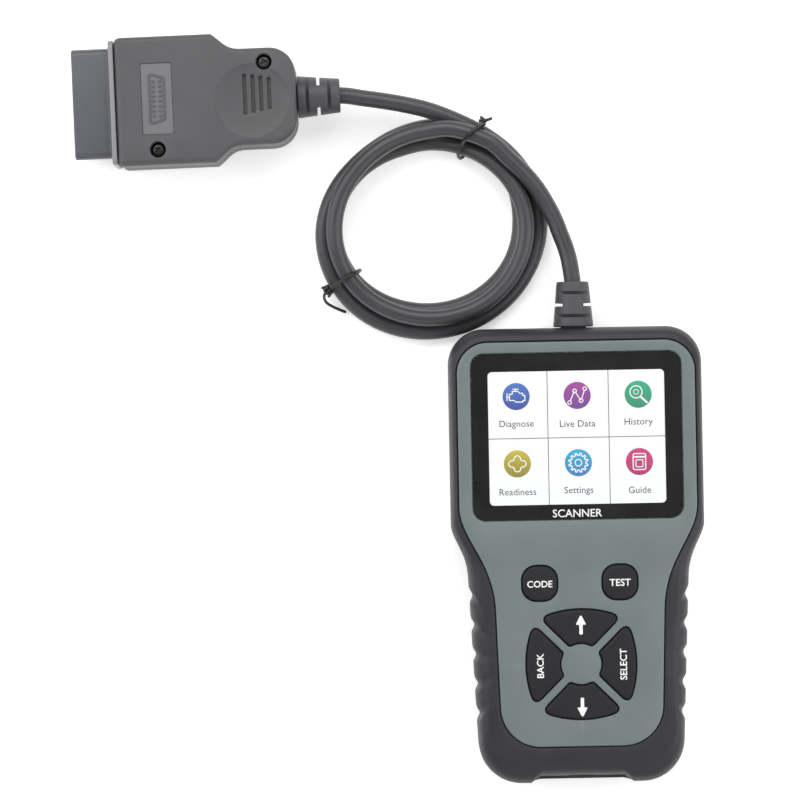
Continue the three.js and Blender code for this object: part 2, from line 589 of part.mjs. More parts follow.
// The nose's outline looking along the plug: wide side up. Drawn in (y, z), shrunk by an inset.
const noseOutline = (inset) => {
  const shape = new THREE.Shape();
  const [low, high] = [NOSE.z[0] + inset, NOSE.z[1] - inset];
  const [wide, narrow] = [NOSE.wide / 2 - inset, NOSE.narrow / 2 - inset];
  const cut = 1.6 - inset * 0.5;
  shape.moveTo(-narrow + cut, low);
  shape.lineTo(narrow - cut, low);
  shape.lineTo(narrow, low + cut);
  shape.lineTo(wide, high - cut);
  shape.lineTo(wide - cut, high);
  shape.lineTo(-wide + cut, high);
  shape.lineTo(-wide, high - cut);
  shape.lineTo(-narrow, low + cut);
  return shape;
};

// Raise an outline drawn in (y, z) along X.
const raiseAlongX = (shape, from, to) => {
  const options = { depth: to - from, bevelEnabled: false, curveSegments: 2 };
  const geometry = new THREE.ExtrudeGeometry(shape, options);
  geometry.rotateX(Math.PI / 2).rotateZ(Math.PI / 2).translate(from, 0, 0);
  return solid(geometry);
};

const pinPlace = (number) => {
  const column = (number - 1) % 8;
  const row = number <= 8 ? 1 : -1;
  return [(column - 3.5) * PIN_PITCH, PLUG_MIDDLE + row * PIN_ROW];
};

// A flat pin: a blade with a narrower tip. Grown by a clearance for its slot in the nose.
const pinSolid = (y, z, grow = 0) => {
  const bar = (from, to, halfY, halfZ) => box(
    [from - grow, to],
    [y - halfY - grow, y + halfY + grow],
    [z - halfZ - grow, z + halfZ + grow],
  );
  return bar(PIN_X[0] + 1.2, PIN_X[1] + grow, 0.75, 0.4).add(bar(PIN_X[0], PIN_X[1], 0.4, 0.2));
};

const plugNose = () => {
  const [back, front] = NOSE.flange;
  const flangeOutline = roundedRectangle(0, PLUG_MIDDLE, FLANGE_WIDTH, PLUG_HEIGHT - 1.2, 2.2);
  const flange = raiseAlongX(flangeOutline, back, front);
  let nose = raiseAlongX(noseOutline(0), NOSE.mouth, back + 0.5).add(flange);
  nose = nose.subtract(raiseAlongX(noseOutline(NOSE.wall), NOSE.mouth - 1, back));
  for (const number of PINS_FITTED) nose = nose.subtract(pinSolid(...pinPlace(number), GAP));
  return nose;
};

add(plug, 'plug_top_shell', plugTopShell(), PLUG_GREY());
add(plug, 'plug_bottom_shell', plugBottomShell(), PLUG_GREY());
add(plug, 'plug_nose', plugNose(), PLUG_GREY());
for (const number of PINS_FITTED) add(plug, `pin_${number}`, pinSolid(...pinPlace(number)), GOLD_PIN());
add(plug, 'pin_board', box([3, 4.6], [-16.5, 16.5], [4.5, 19.5]), BOARD_GREEN());
PLUG_SCREWS.forEach(([x, y], i) => {
  const mesh = add(plug, `plug_screw_${i + 1}`, screw(PLUG_SCREW), BLACK_STEEL());
  mesh.position.set(x, y, PLUG_SEAT + GAP);
});
const plugRelief = add(plug, 'plug_strain_relief', strainRelief(PLUG_RELIEF), RELIEF_PVC());
plugRelief.rotation.z = -Math.PI / 2;
plugRelief.position.set(PLUG_RELIEF.base, 0, PLUG_MIDDLE);

// ---- lead ---------------------------------------------------------------------------------------
// The coil's outer shape: the hull of one strand upon two, turned about the coil's middle.
const coilRing = (grow) => {
  const radius = CORD_DIAMETER / 2;
  const [inner, outer] = [COIL.r + COIL_INNER - radius - grow, COIL.r + COIL_OUTER + radius + grow];
  const top = COIL_UPPER_Z + radius + grow;
  const upper = COIL.r + COIL_UPPER;
  const low = Math.min(0, -grow);
  const profile = [
    [inner + 1.2, low], [outer - 1.2, low], [outer, radius * 0.6], [outer, radius * 1.5],
    [upper + radius * 0.8, top - 0.9], [upper + 1, top], [upper - 1, top], [inner, radius * 1.8],
    [inner, radius * 0.6], [inner + 1.2, low],
  ].map((p) => new THREE.Vector2(...p));
  const geometry = new THREE.LatheGeometry(profile, 40).rotateX(Math.PI / 2);
  return solid(geometry.scale(1, COIL.flatten, 1).translate(COIL.x, COIL.y, 0));
};

// Points by hand, from the handset's strain relief round the outside of the coil and up on to it.
const HANDSET_LEAD = [
  [0, 90, 10.35], [-0.5, 94, 10.2], [-1.2, 98, 10], [-2.2, 101.6, 9.9], [-3.6, 105.4, 9.8],
  [-5.4, 110.3, 9.7], [-7.9, 115.4, 9.7], [-11, 120.6, 10.2], [-15.1, 125.6, 11.6], [-20.4, 130.7, 12.9],
  [-26.7, 136.3, 13.9],
];
// And from the far side of the coil to the plug.
const PLUG_LEAD = [
  [-46.41, 147.19, 10], [-54.32, 149.16, 10.4], [-61.55, 150.51, 10.7], [-68.1, 151.47, 11.4],
  [-71.8, 152.1, 11.8], [-74.9, 152.39, 12],
];

// Each tie is a loop of wire round the coil's section, standing across it.
const tieFrame = (angle, thickness, grow) => {
  const radius = CORD_DIAMETER / 2;
  const squash = Math.hypot(Math.cos(angle), COIL.flatten * Math.sin(angle));
  const from = (COIL.r + COIL_INNER - radius) * squash - GAP - TIE_WIRE;
  const to = (COIL.r + COIL_OUTER + radius) * squash + GAP + TIE_WIRE;
  const top = COIL_UPPER_Z + radius + GAP + TIE_WIRE;
  const [middle, width] = [(from + to) / 2, to - from];
  const inside = 2 * TIE_WIRE + 2 * grow;
  const loop = roundedRectangle(middle, top / 2, width + 2 * grow, top + 2 * grow, 3);
  const hole = roundedRectangle(middle, top / 2, width - inside, top - inside, 2);
  return raise(loop, 0, thickness, 2).subtract(raise(hole, -1, thickness + 1, 2))
    .translate([0, 0, -thickness / 2]).rotate([90, 0, 0]);
};
const placeOnCoil = (manifold, angle) =>
  manifold.rotate([0, 0, THREE.MathUtils.radToDeg(angle)]).translate([COIL.x, COIL.y, 0]);

let coil = coilRing(0);
const cordRadius = CORD_DIAMETER / 2;
for (const tie of TIES) {
  const angle = THREE.MathUtils.degToRad(tie.angle);
  const loop = placeOnCoil(tieFrame(angle, TIE_WIRE, 0), angle);
  coil = coil.subtract(placeOnCoil(tieFrame(angle, TIE_WIRE + 2 * GAP, GAP), angle));
  add(object, tie.name, loop, TIE_VINYL());
}
add(object, 'cord_coil', coil, CORD_PVC());
const handsetLead = tube(HANDSET_LEAD, cordRadius, 14).subtract(coilRing(GAP));
const plugLead = tube(PLUG_LEAD, cordRadius, 8).subtract(coilRing(GAP));
add(object, 'cord_handset_lead', handsetLead, CORD_PVC());
add(object, 'cord_plug_lead', plugLead, CORD_PVC());

export default object;
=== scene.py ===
"""Looks of a handheld car code reader: handset with colour screen and six keys, coiled lead, 16-way car plug.

Sizes and places are in millimetres in the part's frame, and MM turns them into metres as each mesh is made.
"""

import math

import bmesh
import bpy
import numpy as np
from mathutils import Matrix, Vector
from mathutils.geometry import delaunay_2d_cdt


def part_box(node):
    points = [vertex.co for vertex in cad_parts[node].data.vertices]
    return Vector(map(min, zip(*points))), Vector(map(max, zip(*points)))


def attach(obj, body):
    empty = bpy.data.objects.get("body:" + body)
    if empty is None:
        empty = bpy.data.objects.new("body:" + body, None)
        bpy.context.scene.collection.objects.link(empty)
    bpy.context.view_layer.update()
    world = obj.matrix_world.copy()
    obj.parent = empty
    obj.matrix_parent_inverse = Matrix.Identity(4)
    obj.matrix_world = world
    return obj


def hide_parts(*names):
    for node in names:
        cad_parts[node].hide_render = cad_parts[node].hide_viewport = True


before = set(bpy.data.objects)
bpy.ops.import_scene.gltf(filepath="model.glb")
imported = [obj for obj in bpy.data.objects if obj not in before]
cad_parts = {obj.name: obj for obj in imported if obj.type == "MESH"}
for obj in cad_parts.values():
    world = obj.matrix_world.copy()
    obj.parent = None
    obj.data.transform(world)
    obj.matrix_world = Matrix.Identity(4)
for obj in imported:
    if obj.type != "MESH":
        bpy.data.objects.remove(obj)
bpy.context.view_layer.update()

MM = 0.001
HANDSET = "handset"


def cad_box(node):
    """Lowest and highest corners of a CAD node, in millimetres."""
    low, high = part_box(node)
    return low / MM, high / MM


# ---- camera, floor and light --------------------------------------------------------------------
CAMERA_AT = (-57.51, 51.91, 1150)
CAMERA_TURN = -1.1  # degrees
CAMERA_LENS = 155.75
FLOOR_SIZE = 6000
FLOOR_GLOW = 0.42  # the floor is a lit white sheet
TENT_SIDE, TENT_TOP = 0.4, 0.14  # how bright the surroundings are at the horizon and overhead
# Each lamp's name, place and aim in metres, size in metres and power in watts.
LAMPS = [
    ("left", (-0.95, 0.25, 0.75), (-0.05, 0.05, 0), (0.9, 1.2), 7.6),
    ("right", (0.85, -0.15, 0.75), (-0.05, 0.05, 0), (0.9, 1.2), 7.5),
    ("back", (-0.05, 0.85, 0.95), (-0.05, 0.12, 0), (1.3, 0.8), 10.5),
    ("front", (0, -0.95, 0.8), (-0.05, 0.05, 0), (1.3, 0.8), 3),
]


def make_camera():
    """A long lens looking straight down, turned a little about its axis."""
    data = bpy.data.cameras.new("camera")
    data.lens = CAMERA_LENS
    data.sensor_width = 36
    data.clip_start = 0.01
    camera = bpy.data.objects.new("camera", data)
    camera.location = Vector(CAMERA_AT) * MM
    camera.rotation_euler = (0, 0, math.radians(CAMERA_TURN))
    bpy.context.scene.collection.objects.link(camera)
    bpy.context.scene.camera = camera


def area_light(name, at, aim, size, power):
    """A soft rectangular lamp at a place, turned to its aim."""
    data = bpy.data.lights.new(name, "AREA")
    data.shape = "RECTANGLE"
    data.size, data.size_y = size
    data.energy = power
    lamp = bpy.data.objects.new(name, data)
    lamp.location = at
    lamp.rotation_euler = (Vector(aim) - Vector(at)).to_track_quat("-Z", "Y").to_euler()
    bpy.context.scene.collection.objects.link(lamp)


def make_light():
    """A light tent: pale all round, darker overhead, with a large soft lamp on each side."""
    world = bpy.data.worlds.new("studio")
    world.use_nodes = True
    tree = world.node_tree
    place = tree.nodes.new("ShaderNodeTexCoord")
    split = tree.nodes.new("ShaderNodeSeparateXYZ")
    fade = tree.nodes.new("ShaderNodeMapRange")
    tree.links.new(place.outputs["Generated"], split.inputs[0])
    tree.links.new(split.outputs["Z"], fade.inputs["Value"])
    for key, value in (("From Min", 0.0), ("From Max", 0.75), ("To Min", TENT_SIDE), ("To Max", TENT_TOP)):
        fade.inputs[key].default_value = value
    background = tree.nodes["Background"]
    background.inputs["Color"].default_value = (0.98, 0.985, 1, 1)
    tree.links.new(fade.outputs["Result"], background.inputs["Strength"])
    bpy.context.scene.world = world
    for name, at, aim, size, power in LAMPS:
        area_light(f"light_{name}", at, aim, size, power)
    bpy.context.scene.view_settings.view_transform = "Standard"


# ---- materials ----------------------------------------------------------------------------------
def srgb(r, g, b):
    """Linear colour of an sRGB colour given in 0 to 255."""
    def linear(v):
        v /= 255
        return v / 12.92 if v <= 0.04045 else ((v + 0.055) / 1.055) ** 2.4
    return linear(r), linear(g), linear(b), 1


class Nodes:
    """A material's node tree with a Principled shader, and short ways to add to it."""

    def __init__(self, name):
        self.material = bpy.data.materials.new(name)
        self.material.use_nodes = True
        self.tree = self.material.node_tree
        self.shader = self.tree.nodes["Principled BSDF"]
        self.place = self.add("ShaderNodeTexCoord").outputs["Object"]

    def add(self, kind, **settings):
        node = self.tree.nodes.new(kind)
        for key, value in settings.items():
            if key in node.inputs:
                node.inputs[key].default_value = value
            else:
                setattr(node, key, value)
        return node

    def link(self, a, b):
        self.tree.links.new(a, b)

    def set(self, **values):
        for key, value in values.items():
            self.shader.inputs[key.replace("_", " ")].default_value = value

    def noise(self, size, detail):
        """Noise whose features are about size millimetres across."""
        mapping = self.add("ShaderNodeMapping")
        mapping.inputs["Scale"].default_value = [1 / (size * MM)] * 3
        self.link(self.place, mapping.inputs["Vector"])
        noise = self.add("ShaderNodeTexNoise", Scale=1.0, Detail=detail, Roughness=0.55)
        self.link(mapping.outputs["Vector"], noise.inputs["Vector"])
        return noise.outputs["Fac"]

    def span(self, value, low, high, from_low=0.3, from_high=0.7):
        """Value remapped to run from low to high. The defaults suit noise."""
        node = self.add("ShaderNodeMapRange")
        self.link(value, node.inputs["Value"])
        ends = {"From Min": from_low, "From Max": from_high, "To Min": low, "To Max": high}
        for key, number in ends.items():
            node.inputs[key].default_value = number
        return node.outputs["Result"]

    def mix(self, factor, a, b):
        """Mix of two colours, each a value or a socket."""
        node = self.add("ShaderNodeMix", data_type="RGBA")
        for socket, value in ((node.inputs[6], a), (node.inputs[7], b)):
            if isinstance(value, (tuple, list)):
                socket.default_value = value
            else:
                self.link(value, socket)
        self.link(factor, node.inputs[0])
        return node.outputs[2]

    def bump(self, height, depth):
        """Bump of a height that stands depth millimetres proud."""
        node = self.add("ShaderNodeBump", Strength=1.0, Distance=depth * MM)
        self.link(height, node.inputs["Height"])
        return node.outputs["Normal"]


def shade_by(color, share):
    """A colour made darker or lighter."""
    return tuple(min(1, c * share) for c in color[:3]) + (1,)


def moulded(name, color, roughness, grain, depth=0.02, vary=0.08, wear=0.12, specular=0.5, metallic=0.0):
    """Moulded plastic, rubber or metal: grain of a size and depth, cloudy gloss and edges rubbed lighter."""
    n = Nodes(name)
    n.set(Metallic=metallic, Specular_IOR_Level=specular)
    cloud = n.noise(14, 3)
    fine = n.noise(grain, 3)
    base = n.mix(n.span(cloud, 0, 1), shade_by(color, 1 - vary), shade_by(color, 1 + vary))
    speck = n.mix(n.span(fine, 0, 0.5), base, shade_by(color, 1 - 2.2 * vary))
    worn = n.span(n.add("ShaderNodeNewGeometry").outputs["Pointiness"], 0, wear, 0.515, 0.58)
    n.link(n.mix(worn, speck, shade_by(color, 2.2)), n.shader.inputs["Base Color"])
    n.link(n.span(cloud, roughness - 0.05, roughness + 0.06), n.shader.inputs["Roughness"])
    n.link(n.bump(fine, depth), n.shader.inputs["Normal"])
    return n.material


# Each material's name, colour, roughness and other finish.
MOULDED = {
    "frame_soft": ("soft_touch_grey", (46, 46, 50), 0.48,
                   {"grain": 0.3, "depth": 0.016, "wear": 0.1, "specular": 0.35}),
    "housing_dark": ("housing_plastic", (44, 44, 48), 0.52, {"grain": 0.45, "depth": 0.03}),
    "panel_green": ("panel_satin_green", (106, 117, 116), 0.42,
                    {"grain": 0.22, "depth": 0.008, "vary": 0.03}),
    "key_rubber": ("key_rubber", (27, 27, 32), 0.6,
                   {"grain": 0.25, "depth": 0.014, "wear": 0.06, "specular": 0.35}),
    "key_carbon": ("contact_carbon", (14, 14, 14), 0.85, {"grain": 0.2}),
    "plug_grey": ("plug_plastic", (78, 78, 80), 0.5, {"grain": 0.5, "depth": 0.035, "vary": 0.05}),
    "plug_smooth": ("plug_smooth_plastic", (80, 82, 88), 0.34, {"grain": 0.4, "depth": 0.006, "vary": 0.05}),
    "plug_label": ("plug_label_satin", (104, 103, 106), 0.42, {"grain": 0.3, "depth": 0.01, "vary": 0.03}),
    # The flange is coloured much lighter than the nose: a painted highlight standing in for the bright strip
    # of light along it.
    "plug_flange_painted_highlight": ("plug_flange_plastic", (128, 128, 131), 0.36,
                    {"grain": 0.4, "depth": 0.006, "vary": 0.03}),
    "cord_pvc": ("cord_jacket", (62, 62, 65), 0.38, {"grain": 0.8, "vary": 0.06, "wear": 0}),
    "relief_pvc": ("strain_relief_pvc", (69, 69, 73), 0.5, {"grain": 0.4, "depth": 0.025}),
    "tie_vinyl": ("tie_vinyl", (26, 27, 29), 0.42, {"grain": 0.3}),
    "steel": ("steel", (150, 152, 155), 0.32, {"grain": 0.3, "depth": 0.006, "metallic": 1.0}),
    "black_steel": ("blackened_steel", (92, 92, 95), 0.28, {"grain": 0.3, "depth": 0.01, "metallic": 1.0}),
    "pin_gold": ("pin_gold", (214, 178, 96), 0.25, {"grain": 0.3, "depth": 0.004, "metallic": 1.0}),
    "silicone": ("silicone_mat", (185, 188, 192), 0.66, {"grain": 0.4}),
    "natural_plastic": ("natural_plastic", (214, 212, 202), 0.55, {"grain": 0.4, "depth": 0.015}),
    "chip_black": ("chip_epoxy", (28, 28, 30), 0.55, {"grain": 0.12, "depth": 0.012}),
    "circuit_board": ("board_green", (30, 88, 56), 0.4, {"grain": 1.2, "depth": 0.012, "vary": 0.12}),
    "legend_white": ("legend_ink", (236, 236, 236), 0.5, {"grain": 0.15, "depth": 0.006, "vary": 0.02}),
}


# ---- mesh toolkit -------------------------------------------------------------------------------
def arc(x, y, radius, start, end, steps):
    """Points on an arc from start to end degrees, both included."""
    turns = [math.radians(start + (end - start) * i / steps) for i in range(steps + 1)]
    return [(x + radius * math.cos(t), y + radius * math.sin(t)) for t in turns]


def circle(x, y, radius, steps=40):
    return arc(x, y, radius, 0, 360, steps)[:-1]


def line(a, b, steps):
    """Points from a up to but not including b."""
    return [(a[0] + (b[0] - a[0]) * i / steps, a[1] + (b[1] - a[1]) * i / steps) for i in range(steps)]


def bezier(controls, steps):
    """Points on the Bezier curve of some control points, without its last point."""
    points = []
    for i in range(steps):
        row = controls
        while len(row) > 1:
            row = [tuple(p + (q - p) * i / steps for p, q in zip(a, b)) for a, b in zip(row, row[1:])]
        points.append(row[0])
    return points


def rounded_rectangle(x, y, width, height, radius, steps=8):
    right, top = x + width / 2 - radius, y + height / 2 - radius
    left, low = x - width / 2 + radius, y - height / 2 + radius
    return (arc(right, top, radius, 0, 90, steps) + arc(left, top, radius, 90, 180, steps)
            + arc(left, low, radius, 180, 270, steps) + arc(right, low, radius, 270, 360, steps))


def shifted(loop, distance):
    """The loop with each point moved to its left, which is inwards on an anticlockwise loop."""
    p = np.array(loop, float)
    before, after = p - np.roll(p, 1, 0), np.roll(p, -1, 0) - p
    before /= np.maximum(np.linalg.norm(before, axis=1), 1e-9)[:, None]
    after /= np.maximum(np.linalg.norm(after, axis=1), 1e-9)[:, None]
    normal = np.stack([-(before + after)[:, 1], (before + after)[:, 0]], 1)
    normal /= np.maximum(np.linalg.norm(normal, axis=1), 1e-9)[:, None]
    lean = np.maximum((normal * np.stack([-after[:, 1], after[:, 0]], 1)).sum(1), 0.5)
    return [tuple(q) for q in p + normal * (distance / lean)[:, None]]


def hole(loop):
    """An outline turned clockwise, as the edge of a hole."""
    return list(reversed(loop))


def fillet(radius, low, high, steps):
    """Profile points (inset, height) of a rounded upper edge, going up from low to high."""
    turns = [math.pi / 2 * i / steps for i in range(steps + 1)]
    return [(radius * (1 - math.cos(t)), low + (high - low) * math.sin(t)) for t in turns]


def weld(mesh):
    """Joins points that coincide and turns every face outwards."""
    work = bmesh.new()
    work.from_mesh(mesh)
    bmesh.ops.remove_doubles(work, verts=work.verts, dist=1e-7)
    bmesh.ops.recalc_face_normals(work, faces=work.faces)
    work.to_mesh(mesh)
    work.free()


class Shape:
    """A closed mesh made of rings of points, the walls between them and the faces that fill them."""

    def __init__(self):
        self.points = []
        self.faces = []

    def ring(self, loop, z):
        """A ring at a height, which may differ from point to point. Returns its point numbers."""
        heights = z if isinstance(z, (list, tuple)) else [z] * len(loop)
        first = len(self.points)
        self.points += [(p[0], p[1], h) for p, h in zip(loop, heights)]
        return list(range(first, len(self.points)))

    def wall(self, low, high):
        n = len(low)
        self.faces += [(low[i], low[(i + 1) % n], high[(i + 1) % n], high[i]) for i in range(n)]

    def walls(self, loop, profile):
        """Joined rings of the loop at each (inset, height) of a profile. Returns the first and last."""
        rings = [self.ring(shifted(loop, d) if d else loop, z) for d, z in profile]
        self.join(rings)
        return rings[0], rings[-1]

    def join(self, rings):
        """Walls from each ring to the next."""
        for low, high in zip(rings, rings[1:]):
            self.wall(low, high)

    def solid(self, rings):
        """A closed body through the rings, from its flat bottom to its flat top."""
        self.join(rings)
        self.fill([rings[0]], up=False)
        self.fill([rings[-1]])

    def fill(self, rings, up=True, inner=(), height=None):
        """Faces in the area that the rings enclose. inner holds more points in it, at a function's height."""
        numbers = [i for ring in rings for i in ring]
        edges = []
        start = 0
        for ring in rings:
            n = len(ring)
            edges += [(start + i, start + (i + 1) % n) for i in range(n)]
            start += n
        flat = [self.points[i][:2] for i in numbers]
        boundary = [(np.array(flat[a]), np.array(flat[b])) for a, b in edges]
        numbers += range(len(self.points), len(self.points) + len(inner))
        flat += inner
        self.points += [(x, y, height(x, y)) for x, y in inner]
        found, _, triangles, source, _, _ = delaunay_2d_cdt([Vector(p) for p in flat], edges, [], 0, 1e-7)
        crossings = [tuple(p) for p, s in zip(found, source) if not s]
        if crossings:
            raise ValueError(f"outlines cross at {crossings[:4]}")
        original = [s[0] for s in source]
        place = np.array(flat)
        triangles = [[original[i] for i in t] for t in triangles]
        middles = np.array([place[t].mean(0) for t in triangles])
        inside = np.zeros(len(middles), bool)
        for a, b in boundary:
            crosses = (a[1] > middles[:, 1]) != (b[1] > middles[:, 1])
            if crosses.any():
                slope = (b[0] - a[0]) / (b[1] - a[1] if b[1] != a[1] else 1e-9)
                inside ^= crosses & (middles[:, 0] < a[0] + (middles[:, 1] - a[1]) * slope)
        for t, keep in zip(triangles, inside):
            if keep:
                t = [numbers[i] for i in t]
                self.faces.append(tuple(t if up else reversed(t)))

    def slab(self, loops, profile):
        """A closed body with an outline and holes, whose edges all follow one profile, bottom to top."""
        ends = [self.walls(loop, profile) for loop in loops]
        self.fill([low for low, high in ends], up=False)
        self.fill([high for low, high in ends])

    def cap(self, ring, point):
        """A fan of faces from a ring up to one point."""
        self.points.append(tuple(point))
        middle = len(self.points) - 1
        n = len(ring)
        self.faces += [(ring[i], ring[(i + 1) % n], middle) for i in range(n)]

    def build(self, name, material, body=HANDSET, sharp=35, matrix=None):
        """Makes the object in place, in metres, and lets it ride on its body."""
        return finish_piece(name, self.mesh(name, matrix), material, body, sharp)

    def mesh(self, name, matrix):
        mesh = bpy.data.meshes.new(name)
        matrix = matrix or Matrix.Identity(4)
        mesh.from_pydata([(matrix @ Vector(p)) * MM for p in self.points], [], self.faces)
        weld(mesh)
        return mesh


def soften(mesh, sharp):
    """Smooth faces, with edges that turn by more than sharp degrees left crisp."""
    work = bmesh.new()
    work.from_mesh(mesh)
    limit = math.radians(sharp)
    for face in work.faces:
        face.smooth = True
    for edge in work.edges:
        edge.smooth = len(edge.link_faces) == 2 and edge.calc_face_angle(0) < limit
    work.to_mesh(mesh)
    work.free()


def place_piece(name, data, body):
    """Makes a piece of a mesh or a curve, and lets it ride on its body."""
    piece = bpy.data.objects.new(name, data)
    bpy.context.scene.collection.objects.link(piece)
    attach(piece, body)
    return piece


def finish_piece(name, mesh, material, body, sharp=35):
    soften(mesh, sharp)
    mesh.materials.append(MATERIALS[material])
    return place_piece(name, mesh, body)


def plate(name, outer, profile, material, holes=(), matrix=None):
    """A piece made of one slab."""
    shape = Shape()
    shape.slab([outer] + [hole(loop) for loop in holes], profile)
    return shape.build(name, material, matrix=matrix)


MATERIALS = {}
for key, (name, color, roughness, finish) in MOULDED.items():
    MATERIALS[key] = moulded(name, srgb(*color), roughness, **finish)
SLOTS = set(MATERIALS) - {"plug_smooth", "plug_label", "plug_flange_painted_highlight", "legend_white"}  # the CAD's names


# ---- lead ---------------------------------------------------------------------------------------
CORD_DIAMETER = 5.5
COIL = {"x": -46.3, "y": 108.6, "r": 32.4, "flatten": 0.915}
COIL_STEP = 15  # degrees between points on the coil
COIL_RUN = (77, 1157)  # angles between which the lead lies on the coil: almost three turns
# The strand's distance out from the coil's mean line, and its height, at angles along the three turns.
COIL_LAY = [
    (70, 3.8, 14), (90, 2, 13), (135, -0.4, 13.7), (165, -0.8, 12.5), (195, -0.4, 11.1), (225, 0.2, 8.6),
    (300, 0.1, 8.1), (330, -0.7, 8.1), (405, -1.3, 8.2), (450, -1.2, 3.6), (465, -1.6, 2.8),
    (525, -0.3, 2.75), (570, -0.6, 2.75), (630, -2.2, 2.75), (720, -2.6, 2.75), (765, 1.4, 2.75),
    (780, 3.9, 2.75), (795, 4.7, 3.7), (825, 2.4, 7.6), (855, 1, 8.25), (915, 3.6, 6.8), (960, 5, 3.1),
    (1050, 3, 2.75), (1095, 4.1, 2.9), (1117, 4.2, 6.7), (1142, 5, 8.4), (1160, 6.7, 9.4),
]
HANDSET_LEAD = [
    (0, 90, 10.35), (-0.5, 94, 10.2), (-1.2, 98, 10), (-2.2, 101.6, 9.9), (-3.6, 105.4, 9.8),
    (-5.4, 110.3, 9.7), (-7.9, 115.4, 9.7), (-11, 120.6, 10.2), (-15.1, 125.6, 11.6), (-20.4, 130.7, 12.9),
    (-26.7, 136.3, 13.9),
]
SLEEVE_ENDS = [(0, 88.4, 10.35), (-76.4, 152.36, 12)]  # the lead's ends, just inside its two strain reliefs
PLUG_LEAD = [
    (-46.41, 147.19, 10), (-54.32, 149.16, 10.4), (-61.55, 150.51, 10.7), (-68.1, 151.47, 11.4),
    (-71.8, 152.1, 11.8), (-74.9, 152.39, 12),
]


def eased(value, table):
    """Smooth value of each column of a table between its rows."""
    keys = [row[0] for row in table]
    slopes = []
    for i, row in enumerate(table):
        a, b = table[max(i - 1, 0)], table[min(i + 1, len(table) - 1)]
        slopes.append([(q - p) / (b[0] - a[0]) for p, q in zip(a[1:], b[1:])])
    i = max(0, min(len(keys) - 2, next((k for k in range(len(keys)) if keys[k] > value), len(keys)) - 1))
    gap = keys[i + 1] - keys[i]
    t = (value - keys[i]) / gap
    out = []
    for column in range(len(table[0]) - 1):
        p, q = table[i][column + 1], table[i + 1][column + 1]
        m, n = slopes[i][column] * gap, slopes[i + 1][column] * gap
        start = p * (1 + 2 * t) + m * t
        finish = q * (3 - 2 * t) + n * (t - 1)
        out.append(start * (1 - t) ** 2 + finish * t * t)
    return out


def coil_points():
    """Points of the three turns, one every COIL_STEP degrees."""
    points = []
    angle = COIL_RUN[0]
    while angle < COIL_RUN[1] + COIL_STEP / 2:
        out, height = eased(angle, COIL_LAY)
        turn = math.radians(angle)
        points.append((
            COIL["x"] + (COIL["r"] + out) * math.cos(turn),
            COIL["y"] + (COIL["r"] * COIL["flatten"] + out) * math.sin(turn),
            max(height, CORD_DIAMETER / 2),
        ))
        angle += COIL_STEP
    return points


def smooth_curve(name, points, radius, material, bevel_steps, steps):
    """A round cord along one smooth curve through the points."""
    data = bpy.data.curves.new(name, "CURVE")
    data.dimensions = "3D"
    data.bevel_depth = radius * MM
    data.bevel_resolution = bevel_steps
    data.resolution_u = steps
    data.use_fill_caps = True
    spline = data.splines.new("BEZIER")
    spline.bezier_points.add(len(points) - 1)
    places = [Vector(p) * MM for p in points]
    for i, point in enumerate(spline.bezier_points):
        before, after = places[max(i - 1, 0)], places[min(i + 1, len(places) - 1)]
        point.co = places[i]
        point.handle_left_type = point.handle_right_type = "FREE"
        point.handle_left = places[i] - (after - before) / 6
        point.handle_right = places[i] + (after - before) / 6
    data.materials.append(MATERIALS[material])
    return place_piece(name, data, HANDSET)


def curve_length(points):
    """Length in metres of the smooth curve through the points."""
    total = 0
    last = None
    ends = [points[0]] + list(points) + [points[-1]]
    for a, b, c, d in zip(ends, ends[1:], ends[2:], ends[3:]):
        a, b, c, d = (np.array(p, float) for p in (a, b, c, d))
        for i in range(13):
            t = i / 12
            square, cube = 2 * a - 5 * b + 4 * c - d, 3 * b - a - 3 * c + d
            place = b + 0.5 * ((c - a) * t + square * t ** 2 + cube * t ** 3)
            if last is not None:
                total += float(np.linalg.norm(place - last))
            last = place
    return total * MM


def make_cord():
    route = [SLEEVE_ENDS[0]] + HANDSET_LEAD + coil_points() + PLUG_LEAD + [SLEEVE_ENDS[1]]
    piece = smooth_curve("cord", route, CORD_DIAMETER / 2, "cord_pvc", bevel_steps=7, steps=6)
    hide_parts("cord_handset_lead", "cord_coil", "cord_plug_lead")
    return piece, curve_length(route)


make_camera()
make_light()
cord, cord_length = make_cord()


# ---- handset outlines ---------------------------------------------------------------------------
HANDSET_TOP = 74.6
HOUSING_TOP = 20.6
PARTING = 10.2
EXIT_Z = 10.35  # height of the lead where it leaves the handset
GAP = 0.3
WALL = 2.4
PANEL_Z = (19.1, 21.1)
LEDGE_Z = 18.8
DECK_Z = 17
QUARTER_TURN = Matrix.Rotation(math.radians(90), 4, "X")  # turns +Z towards -Y
# Half widths at the head, the neck and the foot, corner radii, and the S-curve from the neck to the head.
HOUSING = {"top": HANDSET_TOP, "foot": -HANDSET_TOP, "head": 41.5, "grip": 36.1, "low": 33.8,
           "head_corner": 11.7, "foot_corner": 14, "neck": (-8, 10), "bend": ((0.1, 9), (-0.2, -4.5))}
PANEL = {"top": 70, "foot": -62.2, "head": 38.8, "grip": 27.5, "low": 26.5,
         "head_corner": 10, "foot_corner": 13, "neck": (-18, 16), "bend": ((0.5, 17), (-0.4, -10.5))}
FOOT_FLAT = HOUSING["low"] - HOUSING["foot_corner"]
FOOT_SHARES = (0, 0.2, 0.4, 0.58, 0.66, 0.7, 0.82, 0.85, 0.9, 0.96)  # places of points along half the foot
RECESS_FROM, RECESS_TO = 0.7, 0.848  # shares of half the foot between which the port recess slants out
NOTCHES = {"count": 5, "top": -13, "pitch": 9.7, "half": 2.7, "depth": 1.1}
PORT = {"half_width": 4.4, "low": 10.9, "high": 15.9}


